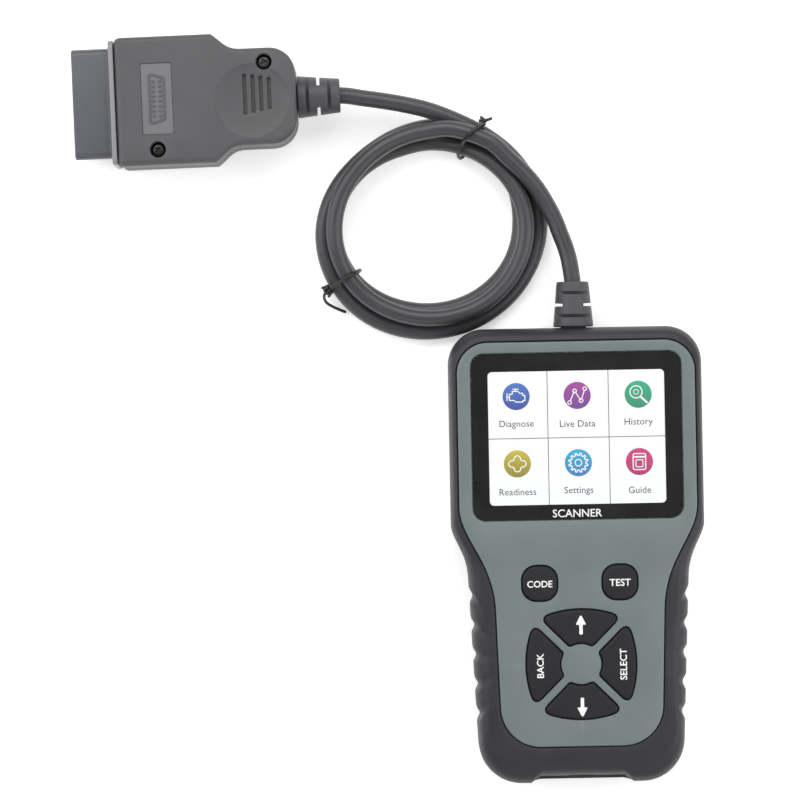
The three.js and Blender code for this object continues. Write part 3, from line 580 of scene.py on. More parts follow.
def handset_loop(size):
    """An outline that goes round anticlockwise from the middle of the foot, with matching points on each."""
    top, foot, head, grip, low = (size[key] for key in ("top", "foot", "head", "grip", "low"))
    head_corner, foot_corner = size["head_corner"], size["foot_corner"]
    neck, shoulder = Vector((grip, size["neck"][0])), Vector((head, size["neck"][1]))
    flat = low - foot_corner
    half = [(flat * share, foot) for share in FOOT_SHARES]
    half += arc(flat, foot + foot_corner, foot_corner, -90, 0, 14)[:-1]
    half += line((low, foot + foot_corner), neck, 72)
    bend = [neck + Vector(size["bend"][0]), shoulder + Vector(size["bend"][1])]
    half += bezier([neck, *bend, shoulder], 22)
    half += line(shoulder, (head, top - head_corner), 14)
    half += arc(head - head_corner, top - head_corner, head_corner, 0, 90, 14)[:-1]
    half += line((head - head_corner, top), (0, top), 10)
    return half + [(0, top)] + [(-x, y) for x, y in reversed(half[1:])]


def notch_depth(y):
    """Depth of the finger notches at a place along the grip."""
    for i in range(NOTCHES["count"]):
        away = abs(y - NOTCHES["top"] + i * NOTCHES["pitch"]) / NOTCHES["half"]
        if away < 1:
            return NOTCHES["depth"] * math.cos(away * math.pi / 2) ** 1.5
    return 0


def housing_loop(notch, recess):
    """The housing's outline, with its grip notches and its port recess at a share of their depth."""
    moved = []
    for x, y in handset_loop(HOUSING):
        if y < 0:
            x -= math.copysign(notch_depth(y) * notch, x)
        if y < 0.01 - HANDSET_TOP:
            share = (RECESS_TO - abs(x) / FOOT_FLAT) / (RECESS_TO - RECESS_FROM)
            y += recess * min(1, max(0, share))
        moved.append((x, y))
    return moved


def panel_loop(inset=0.0):
    loop = handset_loop(PANEL)
    return shifted(loop, inset) if inset else loop


def between(a, b, shares):
    """Points part of the way from one loop to another that has as many points."""
    return [(p[0] + (q[0] - p[0]) * s, p[1] + (q[1] - p[1]) * s) for p, q, s in zip(a, b, shares)]


# ---- handset housing ----------------------------------------------------------------------------
SHOULDER_RISE = 7  # height over which the front's outer edge rounds over
SHOULDER_SPREAD = 5.2  # how far in it reaches
FRONT_RECESS, REAR_RECESS = 2.3, 0.8
COVER_FLOOR = 2.2
COVER_EDGE = 3.2  # rounding of the cover's lower edge
SCREW_SEAT = 2.6
RATING_PLATE = {"y": 14, "w": 52, "h": 34, "r": 3}


def cut(piece, sharp, *cutters):
    """Cuts closed meshes out of a piece."""
    for cutter in cutters:
        change = piece.modifiers.new("cut", "BOOLEAN")
        change.operation = "DIFFERENCE"
        change.solver = "EXACT"
        change.object = cutter
    apply_modifiers(piece, sharp)
    for cutter in cutters:
        mesh = cutter.data
        bpy.data.objects.remove(cutter)
        bpy.data.meshes.remove(mesh)


def apply_modifiers(piece, sharp):
    bpy.context.view_layer.update()
    graph = bpy.context.evaluated_depsgraph_get()
    mesh = bpy.data.meshes.new_from_object(piece.evaluated_get(graph), depsgraph=graph)
    old = piece.data
    piece.modifiers.clear()
    piece.data = mesh
    mesh.name = piece.name
    bpy.data.meshes.remove(old)
    soften(mesh, sharp)


def cutter(loop, low, high, matrix=None):
    """A prism that is used to cut, and isn't shown."""
    shape = Shape()
    shape.slab([loop], [(0, low), (0, high)])
    prism = bpy.data.objects.new("cutter", shape.mesh("cutter", matrix))
    bpy.context.scene.collection.objects.link(prism)
    return prism


def make_front_frame():
    """The frame round the panel: its shoulders round over from the parting line to a groove at the panel."""
    shape = Shape()
    groove = panel_loop(-GAP)
    rings = []
    for inset, z in ((0.45, PARTING + GAP), (0.12, PARTING + GAP + 0.15), (0, PARTING + GAP + 0.5)):
        rings.append((shifted(housing_loop(1, FRONT_RECESS), inset), z))
    foot = HOUSING_TOP - SHOULDER_RISE
    outer = housing_loop(1, FRONT_RECESS)
    widths = [math.dist(p, q) for p, q in zip(outer, groove)]
    spread = [min(0.86 * w, SHOULDER_SPREAD + 0.1 * w) / w for w in widths]
    steps = 12
    for i in range(steps + 1):
        turn = math.pi / 2 * i / steps
        loop = housing_loop(math.cos(turn) ** 1.2 if i < steps else 0, FRONT_RECESS * math.cos(turn * 0.6))
        share = [s * (1 - math.cos(turn)) for s in spread]
        rings.append((between(loop, groove, share), foot + (SHOULDER_RISE - 0.25) * math.sin(turn)))
    base = housing_loop(0, FRONT_RECESS * math.cos(math.pi * 0.3))
    rings.append((between(base, groove, [s + (1 - s) * 0.5 for s in spread]), HOUSING_TOP - 0.08))
    rings.append((shifted(groove, -0.35), HOUSING_TOP))
    rings.append((shifted(groove, -0.1), HOUSING_TOP - 0.1))
    rings.append((groove, HOUSING_TOP - 0.35))
    rings.append((groove, LEDGE_Z))
    ledge = panel_loop(2.2)
    rings.append((ledge, LEDGE_Z))
    rings.append((ledge, DECK_Z))
    inner = shifted(housing_loop(0, FRONT_RECESS), WALL)
    rings.append((inner, DECK_Z))
    rings.append((inner, PARTING + GAP))
    numbers = [shape.ring(loop, z) for loop, z in rings]
    shape.join(numbers + numbers[:1])
    frame_piece = shape.build("front_frame_shell", "frame_soft", sharp=50)
    cut(frame_piece, 50, relief_hole(), port_hole())
    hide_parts("front_frame")


def relief_hole():
    """Where the lead's strain relief comes out, half in each half of the housing."""
    along_y = Matrix.Translation((0, HANDSET_TOP, EXIT_Z)) @ QUARTER_TURN
    return cutter(circle(0, 0, 4.5, 32), -4, 4, along_y)


def port_hole():
    """The mouth round the port's socket."""
    height = PORT["high"] - PORT["low"]
    along_y = Matrix.Translation((0, -HANDSET_TOP + 6, 0)) @ QUARTER_TURN
    outline = rounded_rectangle(0, (PORT["low"] + PORT["high"]) / 2, 2 * PORT["half_width"], height, 1.1)
    return cutter(outline, -1, 8, along_y)


def screw_place(node):
    """Middle of a screw's node, seen from above."""
    low, high = cad_box(node)
    return (low.x + high.x) / 2, (low.y + high.y) / 2


REAR_SCREWS = [screw_place(f"rear_screw_{i}") for i in (1, 2, 3, 4)]


def make_rear_cover():
    """A tray with rounded lower edges, a field for a rating plate, and a counterbored boss at each screw."""
    shape = Shape()
    rings = []
    for i in range(9):
        turn = math.pi / 2 * i / 8
        loop = housing_loop(math.sin(turn) ** 2, REAR_RECESS)
        rings.append((shifted(loop, COVER_EDGE * (1 - math.sin(turn))), COVER_EDGE * (1 - math.cos(turn))))
    full = housing_loop(1, REAR_RECESS)
    rings += [(full, PARTING - 0.5), (shifted(full, 0.12), PARTING - 0.15), (shifted(full, 0.45), PARTING)]
    inner = shifted(housing_loop(0, REAR_RECESS), WALL)
    rings += [(inner, PARTING), (inner, COVER_FLOOR)]
    numbers = [shape.ring(loop, z) for loop, z in rings]
    shape.join(numbers)
    low, high = [numbers[0]], [numbers[-1]]
    boss = [(0, 0), (-0.2, 0.25), (-0.2, SCREW_SEAT), (-1.55, SCREW_SEAT), (-1.55, PARTING), (-0.4, PARTING),
            (-0.4, COVER_FLOOR)]
    for x, y in REAR_SCREWS:
        bore = hole(circle(x, y, 3.15))
        ends = shape.walls(bore, boss)
        low.append(ends[0])
        high.append(ends[1])
    size = RATING_PLATE
    outline = hole(rounded_rectangle(0, size["y"], size["w"], size["h"], size["r"]))
    field, rim = shape.walls(outline, [(0, 0), (-0.15, 0.12), (-0.2, 0.35)])
    low.append(field)
    shape.fill([rim[::-1]], up=False)
    shape.fill(low, up=False)
    shape.fill(high)
    cover = shape.build("rear_cover_shell", "housing_dark", sharp=50)
    cut(cover, 50, relief_hole())
    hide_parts("rear_cover")


make_front_frame()
make_rear_cover()


# ---- face panel, lens and keys ------------------------------------------------------------------
WINDOW = {"y": 39.1, "w": 68.9, "h": 54.7, "r": 4.3, "opening_w": 61.6, "opening_h": 47.2}
LIT = {"y": 38.6, "w": 57.6, "h": 43.6, "r": 1.4}
LENS_Z = (20.2, 21)
KEY_TOP = 21.8
KEY_CROWN = 0.32  # how far a key's top falls from its middle to its farthest corner
KEY_EDGE = 0.75
KEY_FLANGE_Z = (17.2, 18.7)
KEY_FOOT = {"r": 2.4, "z": 14.1}
KEY_GAP = 0.35
ROUND_KEY = {"size": 11.4, "r": 4.6, "x": 13.1, "y": -8.8}
PAD = {"y": -35.4, "hub": 6.9, "reach": 17.9, "arc": 34, "side": 1.56, "corner": 3.2, "inner_corner": 0.9}
PAD_CONTACT = 12.2  # from the pad's middle to the middle of each key's stem
PANEL_EDGE = 0.45


def pad_key_loop():
    """The pad's upper key about the pad's middle, anticlockwise: a sector with a hollow inner end."""
    hub, radius, centre = PAD["hub"], PAD["arc"], PAD["reach"] - PAD["arc"]
    shift = PAD["side"] * math.sqrt(2)

    def meet(middle, r):
        half = (shift + middle) / 2
        return half + math.sqrt(half * half - (shift * shift + middle * middle - r * r) / 2)

    outer_y, inner_y = meet(centre, radius), meet(0, hub)
    corner, inner = PAD["corner"], PAD["inner_corner"]
    outer_turn = math.atan2(outer_y - centre, outer_y - shift) + corner / radius
    inner_turn = math.atan2(inner_y, inner_y - shift) + inner / hub
    diagonal = math.sqrt(0.5)
    side_low = (inner_y - shift + inner * diagonal, inner_y + inner * diagonal)
    side_high = (outer_y - shift - corner * diagonal, outer_y - corner * diagonal)
    arc_start = (radius * math.cos(outer_turn), centre + radius * math.sin(outer_turn))
    hub_end = (hub * math.cos(inner_turn), hub * math.sin(inner_turn))
    half = arc(0, 0, hub, 90, math.degrees(inner_turn), 6)[1:-1]
    half += bezier([hub_end, (inner_y - shift, inner_y), side_low], 5)
    half += line(side_low, side_high, 6)
    half += bezier([side_high, (outer_y - shift, outer_y), arc_start], 8)
    half += arc(0, centre, radius, math.degrees(outer_turn), 90, 12)[:-1]
    return [(0, hub)] + half + [(0, PAD["reach"])] + [(-x, y) for x, y in reversed(half)]


def turned(loop, degrees, x=0, y=0):
    c, s = math.cos(math.radians(degrees)), math.sin(math.radians(degrees))
    return [(x + c * px - s * py, y + s * px + c * py) for px, py in loop]


def round_key_loop(x):
    return rounded_rectangle(x, ROUND_KEY["y"], ROUND_KEY["size"], ROUND_KEY["size"], ROUND_KEY["r"], 10)


def pad_key(degrees):
    """A pad key's middle and outline, turned from the upper key's place."""
    at = turned([(0, PAD_CONTACT)], degrees, 0, PAD["y"])[0]
    return {"at": at, "loop": turned(pad_key_loop(), degrees, 0, PAD["y"])}


KEYS = {
    "code_key": {"at": (-ROUND_KEY["x"], ROUND_KEY["y"]), "loop": round_key_loop(-ROUND_KEY["x"])},
    "ready_key": {"at": (ROUND_KEY["x"], ROUND_KEY["y"]), "loop": round_key_loop(ROUND_KEY["x"])},
    "up_key": pad_key(0),
    "exit_key": pad_key(90),
    "down_key": pad_key(180),
    "enter_key": pad_key(270),
}


def key_crown(key):
    """Height of the key's crowned top at a point."""
    x0, y0 = KEYS[key]["at"]
    reach = max(math.dist((x0, y0), p) for p in KEYS[key]["loop"])
    return lambda x, y: KEY_TOP - KEY_CROWN * ((x - x0) ** 2 + (y - y0) ** 2) / reach ** 2


def make_key(name):
    """A rubber cap with a crowned top and rounded edges, on a flange and a stem."""
    shape = Shape()
    loop = KEYS[name]["loop"]
    x0, y0 = KEYS[name]["at"]
    crown = key_crown(name)
    base, ledge = KEY_FLANGE_Z
    flange = [(-0.85, base), (-1, base + 0.15), (-1, ledge - 0.15), (-0.85, ledge), (-0.2, ledge)]
    low, last = shape.walls(loop, flange + [(0, ledge + 0.2), (0, ledge + 1.3)])
    for i in range(7):
        turn = math.pi / 2 * i / 6
        inset = KEY_EDGE * (1 - math.cos(turn))
        points = shifted(loop, inset) if inset else loop
        ring = shape.ring(points, [crown(*p) - KEY_EDGE * (1 - math.sin(turn)) for p in points])
        shape.wall(last, ring)
        last = ring
    rim = shifted(loop, KEY_EDGE)
    for share in (0.85, 0.66, 0.44, 0.2):
        points = [(x0 + (x - x0) * share, y0 + (y - y0) * share) for x, y in rim]
        ring = shape.ring(points, [crown(*p) for p in points])
        shape.wall(last, ring)
        last = ring
    shape.cap(last, (x0, y0, KEY_TOP))
    stem = hole(circle(x0, y0, KEY_FOOT["r"], 24))
    foot = shape.ring(stem, KEY_FOOT["z"])
    root = shape.ring(stem, base)
    shape.wall(root, foot)
    shape.fill([low, root], up=False)
    shape.fill([foot], up=False)
    key = shape.build(f"{name}_cap", "key_rubber", body=f"{name}_body", sharp=50)
    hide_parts(name)


def make_panel():
    """The satin cover over the deck, with an opening for each key and a stepped pocket for the lens."""
    shape = Shape()
    low, high = PANEL_Z
    profile = [(0.2, low), (0, low + 0.2)] + fillet(PANEL_EDGE, high - PANEL_EDGE, high, 4)
    ends = [shape.walls(panel_loop(), profile)]
    key_edge = [(0, low)] + fillet(0.25, high - 0.25, high, 3)
    for key in KEYS.values():
        ends.append(shape.walls(hole(shifted(key["loop"], -KEY_GAP)), key_edge))
    opening = hole(rounded_rectangle(0, WINDOW["y"], WINDOW["opening_w"], WINDOW["opening_h"], 1.5))
    pocket = hole(rounded_rectangle(0, WINDOW["y"], WINDOW["w"] + 0.3, WINDOW["h"] + 0.3, WINDOW["r"] + 0.15))
    shelf = LENS_Z[0] - GAP
    first = shape.ring(opening, low)
    second = shape.ring(opening, shelf)
    third, last = shape.walls(pocket, [(0, shelf)] + fillet(0.12, high - 0.12, high, 2))
    shape.wall(first, second)
    shape.wall(second, third)
    ends.append((first, last))
    shape.fill([e[0] for e in ends], up=False)
    shape.fill([e[1] for e in ends])
    panel = shape.build("face_panel_skin", "panel_green")
    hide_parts("face_panel")


for key_name in KEYS:
    make_key(key_name)
make_panel()


# ---- lens and display ---------------------------------------------------------------------------
def clear_lens():
    """Hard-coated clear acrylic: light passes straight through, and its faces mirror by angle."""
    n = Nodes("clear_lens")
    clear = n.add("ShaderNodeBsdfTransparent")
    gloss = n.add("ShaderNodeBsdfGlossy", Roughness=0.03)
    fresnel = n.add("ShaderNodeFresnel", IOR=1.38)
    outside = n.add("ShaderNodeMath", operation="SUBTRACT")
    outside.inputs[0].default_value = 1
    n.link(n.add("ShaderNodeNewGeometry").outputs["Backfacing"], outside.inputs[1])
    share = n.add("ShaderNodeMath", operation="MULTIPLY")
    n.link(fresnel.outputs[0], share.inputs[0])
    n.link(outside.outputs[0], share.inputs[1])
    mix = n.add("ShaderNodeMixShader")
    n.link(share.outputs[0], mix.inputs[0])
    n.link(clear.outputs[0], mix.inputs[1])
    n.link(gloss.outputs[0], mix.inputs[2])
    smear = n.bump(n.noise(9, 3), 0.004)
    n.link(smear, gloss.inputs["Normal"])
    output = n.tree.nodes["Material Output"]
    n.link(mix.outputs[0], output.inputs["Surface"])
    return n.material


def lit(name, top, bottom):
    """Backlit picture area whose colour runs from its top to its bottom edge."""
    n = Nodes(name)
    split = n.add("ShaderNodeSeparateXYZ")
    n.link(n.add("ShaderNodeTexCoord").outputs["Generated"], split.inputs[0])
    cells = n.noise(0.2, 0)
    shade = n.mix(split.outputs["Y"], bottom, top)
    color = n.mix(n.span(cells, 0, 0.06), shade, WHITE)
    n.link(color, n.shader.inputs["Emission Color"])
    n.set(Emission_Strength=1.0, Base_Color=(0.01, 0.01, 0.01, 1), Roughness=0.4)
    return n.material


# Each round picture's name, its caption, its place, and its colours at the top and the bottom.
DISCS = [
    ("engine", "Diagnose", (-19.55, 52.3), srgb(64, 118, 200), srgb(48, 72, 156)),
    ("graph", "Live Data", (0.4, 52.3), srgb(168, 62, 158), srgb(108, 60, 148)),
    ("magnifier", "History", (20.35, 52.3), srgb(44, 176, 132), srgb(36, 142, 108)),
    ("manifold", "Readiness", (-19.55, 30.3), srgb(206, 186, 56), srgb(140, 132, 34)),
    ("gear", "Settings", (0.4, 30.3), srgb(40, 176, 220), srgb(48, 120, 188)),
    ("booklet", "Guide", (20.35, 30.3), srgb(216, 44, 120), srgb(176, 32, 108)),
]
WHITE = (1, 1, 1, 1)
ICON_SCALE = 1.14
CAPTION_DROP = 9.2
DISC_RADIUS = 4.45
PAGE_COLUMNS, PAGE_ROW = (-9.35, 10.6), 38.55  # places of the lines that divide the page
PAGE_Z = 18.7
LCD = {"w": 67.8, "h": 47.4, "back": 16.3, "sheet_w": 61, "sheet_h": 46.8}
DIVIDER_WIDTH = 0.26
CAPTION_SIZE = 3.1
TITLE = {"text": "SCANNER", "size": 3.6, "at": (-0.3, 13.9)}
MATERIALS["screen_lens"] = clear_lens()
MATERIALS["lens_print"] = moulded("lens_black_print", srgb(21, 22, 22), 0.3,
                                  grain=0.3, depth=0.002, vary=0.02, wear=0)
MATERIALS["lcd"] = lit("lcd_page", WHITE, (0.97, 0.98, 1, 1))
MATERIALS["lcd_line"] = lit("lcd_grey", srgb(92, 94, 98), srgb(92, 94, 98))
MATERIALS["lcd_text"] = lit("lcd_text", srgb(24, 26, 30), srgb(24, 26, 30))
MATERIALS["lcd_icon"] = lit("lcd_icon", WHITE, WHITE)
SLOTS |= {"screen_lens", "lcd"}


def stroke(points, width, closed):
    """Outlines of a line of some width: one with round ends, or an outer and an inner one where it closes."""
    if closed:
        return [shifted(points, -width / 2), hole(shifted(points, width / 2))]
    p = np.array(points, float)
    along = np.gradient(p, axis=0)
    along /= np.linalg.norm(along, axis=1)[:, None]
    left = np.stack([-along[:, 1], along[:, 0]], 1) * width / 2

    def end(i, back):
        turn = math.degrees(math.atan2(along[i][1], along[i][0])) + back
        return arc(p[i][0], p[i][1], width / 2, turn - 90, turn + 90, 4)

    right_side = [tuple(q) for q in (p - left)[1:-1]]
    left_side = [tuple(q) for q in (p + left)[1:-1][::-1]]
    return [end(-1, 0) + left_side + end(0, 180) + right_side]


def strokes_piece(name, lines, low, high, material):
    """Several flat lines as one piece. Each is (points, width, closed)."""
    shape = Shape()
    for points, width, closed in lines:
        shape.slab(stroke(points, width, closed), [(0, low), (0, high)])
    shape.build(name, material)


def gear_loop(radius, depth, teeth):
    points = []
    for i in range(teeth):
        for share, drop in ((0, depth), (0.22, depth), (0.36, 0), (0.64, 0), (0.78, depth)):
            turn = 2 * math.pi * (i + share) / teeth
            points.append(((radius - drop) * math.cos(turn), (radius - drop) * math.sin(turn)))
    return points


def icon_lines():
    """White line pictures, one on each disc, in the order of DISCS."""
    w = 0.32
    engine = [(-1.9, 0.7), (-1.1, 0.7), (-1.1, 1.5), (0.5, 1.5), (1.1, 0.9), (1.9, 0.9), (1.9, 0.3),
              (2.5, 0.3), (2.5, -1.2), (1.9, -1.2), (1.9, -1.6), (0, -1.6), (-0.7, -1.1), (-1.9, -1.1)]
    cap = [(-0.9, 2.1), (0.6, 2.1)]
    stem = [(-0.15, 1.6), (-0.15, 2.05)]
    inlet = [(-2.6, 0.9), (-2.6, -1.1)]
    pipe = [(-2.5, -0.15), (-2, -0.15)]
    graph = [((-2, -1.6), (-0.9, 1)), ((-0.5, 1), (0.9, -1.2)), ((1.3, -1), (2.1, 1.5))]
    nodes = [(-2.2, -2), (-0.7, 1.3), (1.1, -1.5), (2.2, 1.9)]
    cloud = arc(0, 1.35, 0.95, -10, 190, 12) + arc(-1.6, 0, 0.9, 80, 280, 12)
    cloud += arc(0, -1.35, 0.95, 170, 370, 12) + arc(1.6, 0, 0.9, -100, 100, 12)
    return [
        [(engine[::-1], w, True), (cap, w, False), (stem, w, False), (inlet, w, False), (pipe, w, False)],
        [(list(g), w, False) for g in graph] + [(circle(x, y, 0.52, 16), 0.3, True) for x, y in nodes],
        [(circle(-0.6, 0.7, 1.75, 32), 0.34, True), (circle(-0.6, 0.7, 0.7, 20), 0.2, True),
         ([(0.8, -0.8), (2.5, -2.4)], 0.62, False)],
        [(cloud, w, True)],
        [(gear_loop(2.75, 0.6, 12), 0.34, True), (circle(0, 0, 0.95, 24), 0.3, True)],
        [(rounded_rectangle(0, 0, 3.6, 4.6, 0.5, 5), 0.34, True),
         (rounded_rectangle(0, -0.5, 2, 2, 0.2, 3), 0.28, True), ([(-1.5, 1.35), (1.5, 1.35)], 0.5, False)],
    ]


def lettering(name, text, size, at, height, thickness, material, body=HANDSET, turn=0, bold=0.0):
    """Raised ink letters centred on a point. height gives the surface under them."""
    data = bpy.data.curves.new(name, "FONT")
    data.body = text
    data.size = size
    data.align_x = "CENTER"
    data.align_y = "CENTER"
    data.extrude = thickness / 2
    data.offset = bold
    data.resolution_u = 3
    carrier = bpy.data.objects.new(name, data)
    bpy.context.scene.collection.objects.link(carrier)
    bpy.context.view_layer.update()
    mesh = bpy.data.meshes.new_from_object(carrier.evaluated_get(bpy.context.evaluated_depsgraph_get()))
    bpy.data.objects.remove(carrier)
    bpy.data.curves.remove(data)
    spans = [[v.co[axis] for v in mesh.vertices] for axis in (0, 1)]
    middle = Vector([(min(span) + max(span)) / 2 for span in spans] + [0])
    place = Matrix.Translation((at[0], at[1], 0)) @ Matrix.Rotation(math.radians(turn), 4, "Z")
    for vertex in mesh.vertices:
        p = place @ (vertex.co - middle)
        p.z += thickness / 2 + height(p.x, p.y)
        vertex.co = p * MM
    weld(mesh)
    mesh.name = name
    mesh.materials.clear()
    finish_piece(name, mesh, material, body)


def window_outline(grow=0.0):
    return rounded_rectangle(0, WINDOW["y"], WINDOW["w"] + grow, WINDOW["h"] + grow, WINDOW["r"])


def make_display():
    """The lens and the black print on its back, and the lit page with its pictures and captions."""
    lens = plate("lens_window", window_outline(),
                 [(0, LENS_Z[0])] + fillet(0.25, LENS_Z[1] - 0.25, LENS_Z[1], 3), "screen_lens")
    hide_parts("screen_lens")
    clear = rounded_rectangle(0, LIT["y"], LIT["w"], LIT["h"], LIT["r"])
    under = LENS_Z[0]
    plate("lens_print", window_outline(-0.2), [(0, under - 0.2), (0, under - 0.05)], "lens_print", [clear])
    case = rounded_rectangle(0, WINDOW["y"], LCD["w"], LCD["h"], 1)
    plate("lcd_case", case, [(0, LCD["back"]), (0, PAGE_Z - 0.3)], "natural_plastic")
    sheet = rounded_rectangle(0, WINDOW["y"], LCD["sheet_w"], LCD["sheet_h"], 0.5)
    page = plate("lcd_page", sheet, [(0, PAGE_Z - 0.25), (0, PAGE_Z)], "lcd")
    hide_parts("lcd_module")
    low, high = PAGE_Z + 0.02, PAGE_Z + 0.06
    right, foot, top = LIT["w"] / 2 + 1, LIT["y"] - LIT["h"] / 2 - 1, LIT["y"] + LIT["h"] / 2 + 1
    grid = [[(x, foot), (x, top)] for x in PAGE_COLUMNS] + [[(-right, PAGE_ROW), (right, PAGE_ROW)]]
    strokes_piece("page_dividers", [(ends, DIVIDER_WIDTH, False) for ends in grid], low, high, "lcd_line")
    for (name, caption, (x0, y0), above, below), lines in zip(DISCS, icon_lines()):
        MATERIALS[f"disc_{name}"] = lit(f"disc_{name}", above, below)
        plate(f"disc_{name}", circle(x0, y0, DISC_RADIUS, 48), [(0, low), (0, high)], f"disc_{name}")
        moved = [([(x0 + ICON_SCALE * x, y0 + ICON_SCALE * y) for x, y in points], width, closed)
                 for points, width, closed in lines]
        strokes_piece(f"icon_{name}", moved, high + 0.02, high + 0.06, "lcd_icon")
        at = (x0, y0 - CAPTION_DROP)
        lettering(f"caption_{name}", caption, CAPTION_SIZE, at, lambda x, y: low, 0.05, "lcd_text")
    lettering("window_title", TITLE["text"], TITLE["size"], TITLE["at"], lambda x, y: under - 0.04, 0.02,
              "legend_white", bold=0.03)


make_display()


# ---- key legends --------------------------------------------------------------------------------
INK = 0.035  # thickness of the keys' legends
ARROW = {"shaft": 0.55, "head": 1.7, "half": 3.05, "barb": 2.9}
LEGENDS = [
    ("code_key", "CODE", (-13.1, -9), 0, 3),
    ("ready_key", "TEST", (13.1, -8.9), 0, 3.2),
    ("exit_key", "BACK", (-13.4, -35.6), 90, 3.1),
    ("enter_key", "SELECT", (13.7, -35.6), 90, 3.15),
]


def arrow_loop(x, y, turn):
    """An arrow with its corners cut a little, pointing up before it is turned."""
    shaft, head, half = ARROW["shaft"], ARROW["head"], ARROW["half"]
    neck = half - ARROW["barb"]
    loop = [(-shaft, -half), (shaft, -half), (shaft, neck), (head, neck), (0.25, half), (-0.25, half),
            (-head, neck), (-shaft, neck)]
    rounded = []
    for i, p in enumerate(loop):
        for other in (loop[i - 1], loop[(i + 1) % len(loop)]):
            reach = min(0.22, 0.25 / math.dist(p, other))
            rounded.append((p[0] + (other[0] - p[0]) * reach, p[1] + (other[1] - p[1]) * reach))
    return turned(rounded, turn, x, y)


def make_legends():
    """Printed words and arrows, each riding on its own key."""
    for key, text, at, turn, size in LEGENDS:
        lettering(f"{key}_legend", text, size, at, key_crown(key), INK, "legend_white", f"{key}_body", turn,
                  bold=0.045)
    for key, y, turn in (("up_key", -22.6, 0), ("down_key", -49.3, 180)):
        shape = Shape()
        crown = key_crown(key)
        loop = arrow_loop(0.05, y, turn)
        shape.solid([shape.ring(loop, [crown(*p) + rise for p in loop]) for rise in (0.002, INK)])
        shape.build(f"{key}_arrow", "legend_white", f"{key}_body")


make_legends()


# ---- strain reliefs -----------------------------------------------------------------------------
RELIEF_NECK = {"r": 4.2, "length": 3}  # where the sleeve passes through the wall
RELIEF_FLANGE = {"r": 6, "thickness": 2.6}
RELIEF_EDGE = 0.45
HANDSET_RELIEF = {"base": 6.6, "tip": 5.3, "length": 14.8}  # base and tip are radii
PLUG_RELIEF = {"base": 6.9, "tip": 5.6, "length": 13.9}
RELIEF_SLOTS = {"places": (0.24, 0.49, 0.75), "core": 3.2, "reach": 9, "half": 0.55}
CORD_HOLE = {"r": CORD_DIAMETER / 2 + 0.05, "depth": 1.6}


def make_relief(name, node, size, place):
    """A tapered sleeve with three rows of flex slots, along +Z of place, with a flange inside the wall."""
    shape = Shape()
    base, tip, length = size["base"], size["tip"], size["length"]
    neck, seat, flange = RELIEF_NECK["r"], -RELIEF_NECK["length"], RELIEF_FLANGE["r"]
    back = seat - RELIEF_FLANGE["thickness"]
    profile = [(0.01, back), (flange, back), (flange, seat), (neck, seat), (neck, 0.05), (base - 0.25, 0.05)]
    profile += line((base, 0.3), (tip, length - RELIEF_EDGE), 16)
    profile += [(tip - inset, z) for inset, z in fillet(RELIEF_EDGE, length - RELIEF_EDGE, length, 5)]
    bore = CORD_HOLE["r"]
    profile += [(bore + 0.2, length), (bore, length - 0.25), (bore, length - CORD_HOLE["depth"])]
    shape.solid([shape.ring(circle(0, 0, r, 72), z) for r, z in profile])
    relief = shape.build(name, "relief_pvc", sharp=40)
    core, reach, half = RELIEF_SLOTS["core"], RELIEF_SLOTS["reach"], RELIEF_SLOTS["half"]
    slots = []
    for row, share in enumerate(RELIEF_SLOTS["places"]):
        for side in (-1, 1):
            loop = rounded_rectangle(side * (core + reach) / 2, 0, reach - core, 2 * reach, 0.5, 3)
            if row != 1:
                loop = rounded_rectangle(0, side * (core + reach) / 2, 2 * reach, reach - core, 0.5, 3)
            slots.append(cutter(loop, length * share - half, length * share + half))
    cut(relief, 40, *slots)
    round_edges(relief, 0.14, 40)
    relief.data.transform(in_metres(place))
    soften(relief.data, 40)
    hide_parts(node)
    return relief


def in_metres(matrix):
    """The same placement for a mesh that is already in metres."""
    placed = matrix.copy()
    placed.translation = matrix.translation * MM
    return placed


def round_edges(piece, width, angle):
    """Rounds the edges that turn by more than an angle."""
    change = piece.modifiers.new("rounding", "BEVEL")
    change.width = width * MM
    change.segments = 2
    change.limit_method = "ANGLE"
    change.angle_limit = math.radians(angle)
    change.use_clamp_overlap = True
    apply_modifiers(piece, angle)


# ---- car plug -----------------------------------------------------------------------------------
PLUG = Matrix.Translation((-148.2, 150.6, 0)) @ Matrix.Rotation(math.radians(1.4), 4, "Z")
PLUG_LENGTH = 58.7
PLUG_HEIGHT = 24
PLUG_HALF = 21
PLUG_TAIL_HALF = 15.8
PLUG_SHOULDER = (31.7, 40.8)
PLUG_TAIL_CORNER = 8.4
PLUG_FRONT_CORNER = 2
PLUG_PARTING = 11.85
PLUG_EDGE = 1.9
PLUG_FLOOR = 2.2  # thickness of the shells' floor and ceiling
PLUG_CAVITY = (1.7, 0.45)  # its inset from the outline, and from the flange end
SCREW_PLACES = [(48.7, 11.1), (13.1, -16)]
PLUG_SCREW_SEAT = 20.3  # where the screws' heads rest, a gap above their pockets' floors
DISH = {"x": 44.3, "y": -1.5, "radius": 12.2, "depth": 1.15}
GROOVES = [(42.1, 13.4), (44.8, 12.6), (47.4, 11.6), (50.1, 10.4)]  # place and length
GROOVE = {"y": 0.8, "width": 1.35, "depth": 1.1}
LABEL = {"x": 13.5, "y": 0.5, "w": 10.2, "h": 23.3}
LABEL_Z = (PLUG_HEIGHT - 0.38, PLUG_HEIGHT - 0.3)
REAR_FIELD = {"x": 13.5, "y": 1, "w": 12, "h": 26}


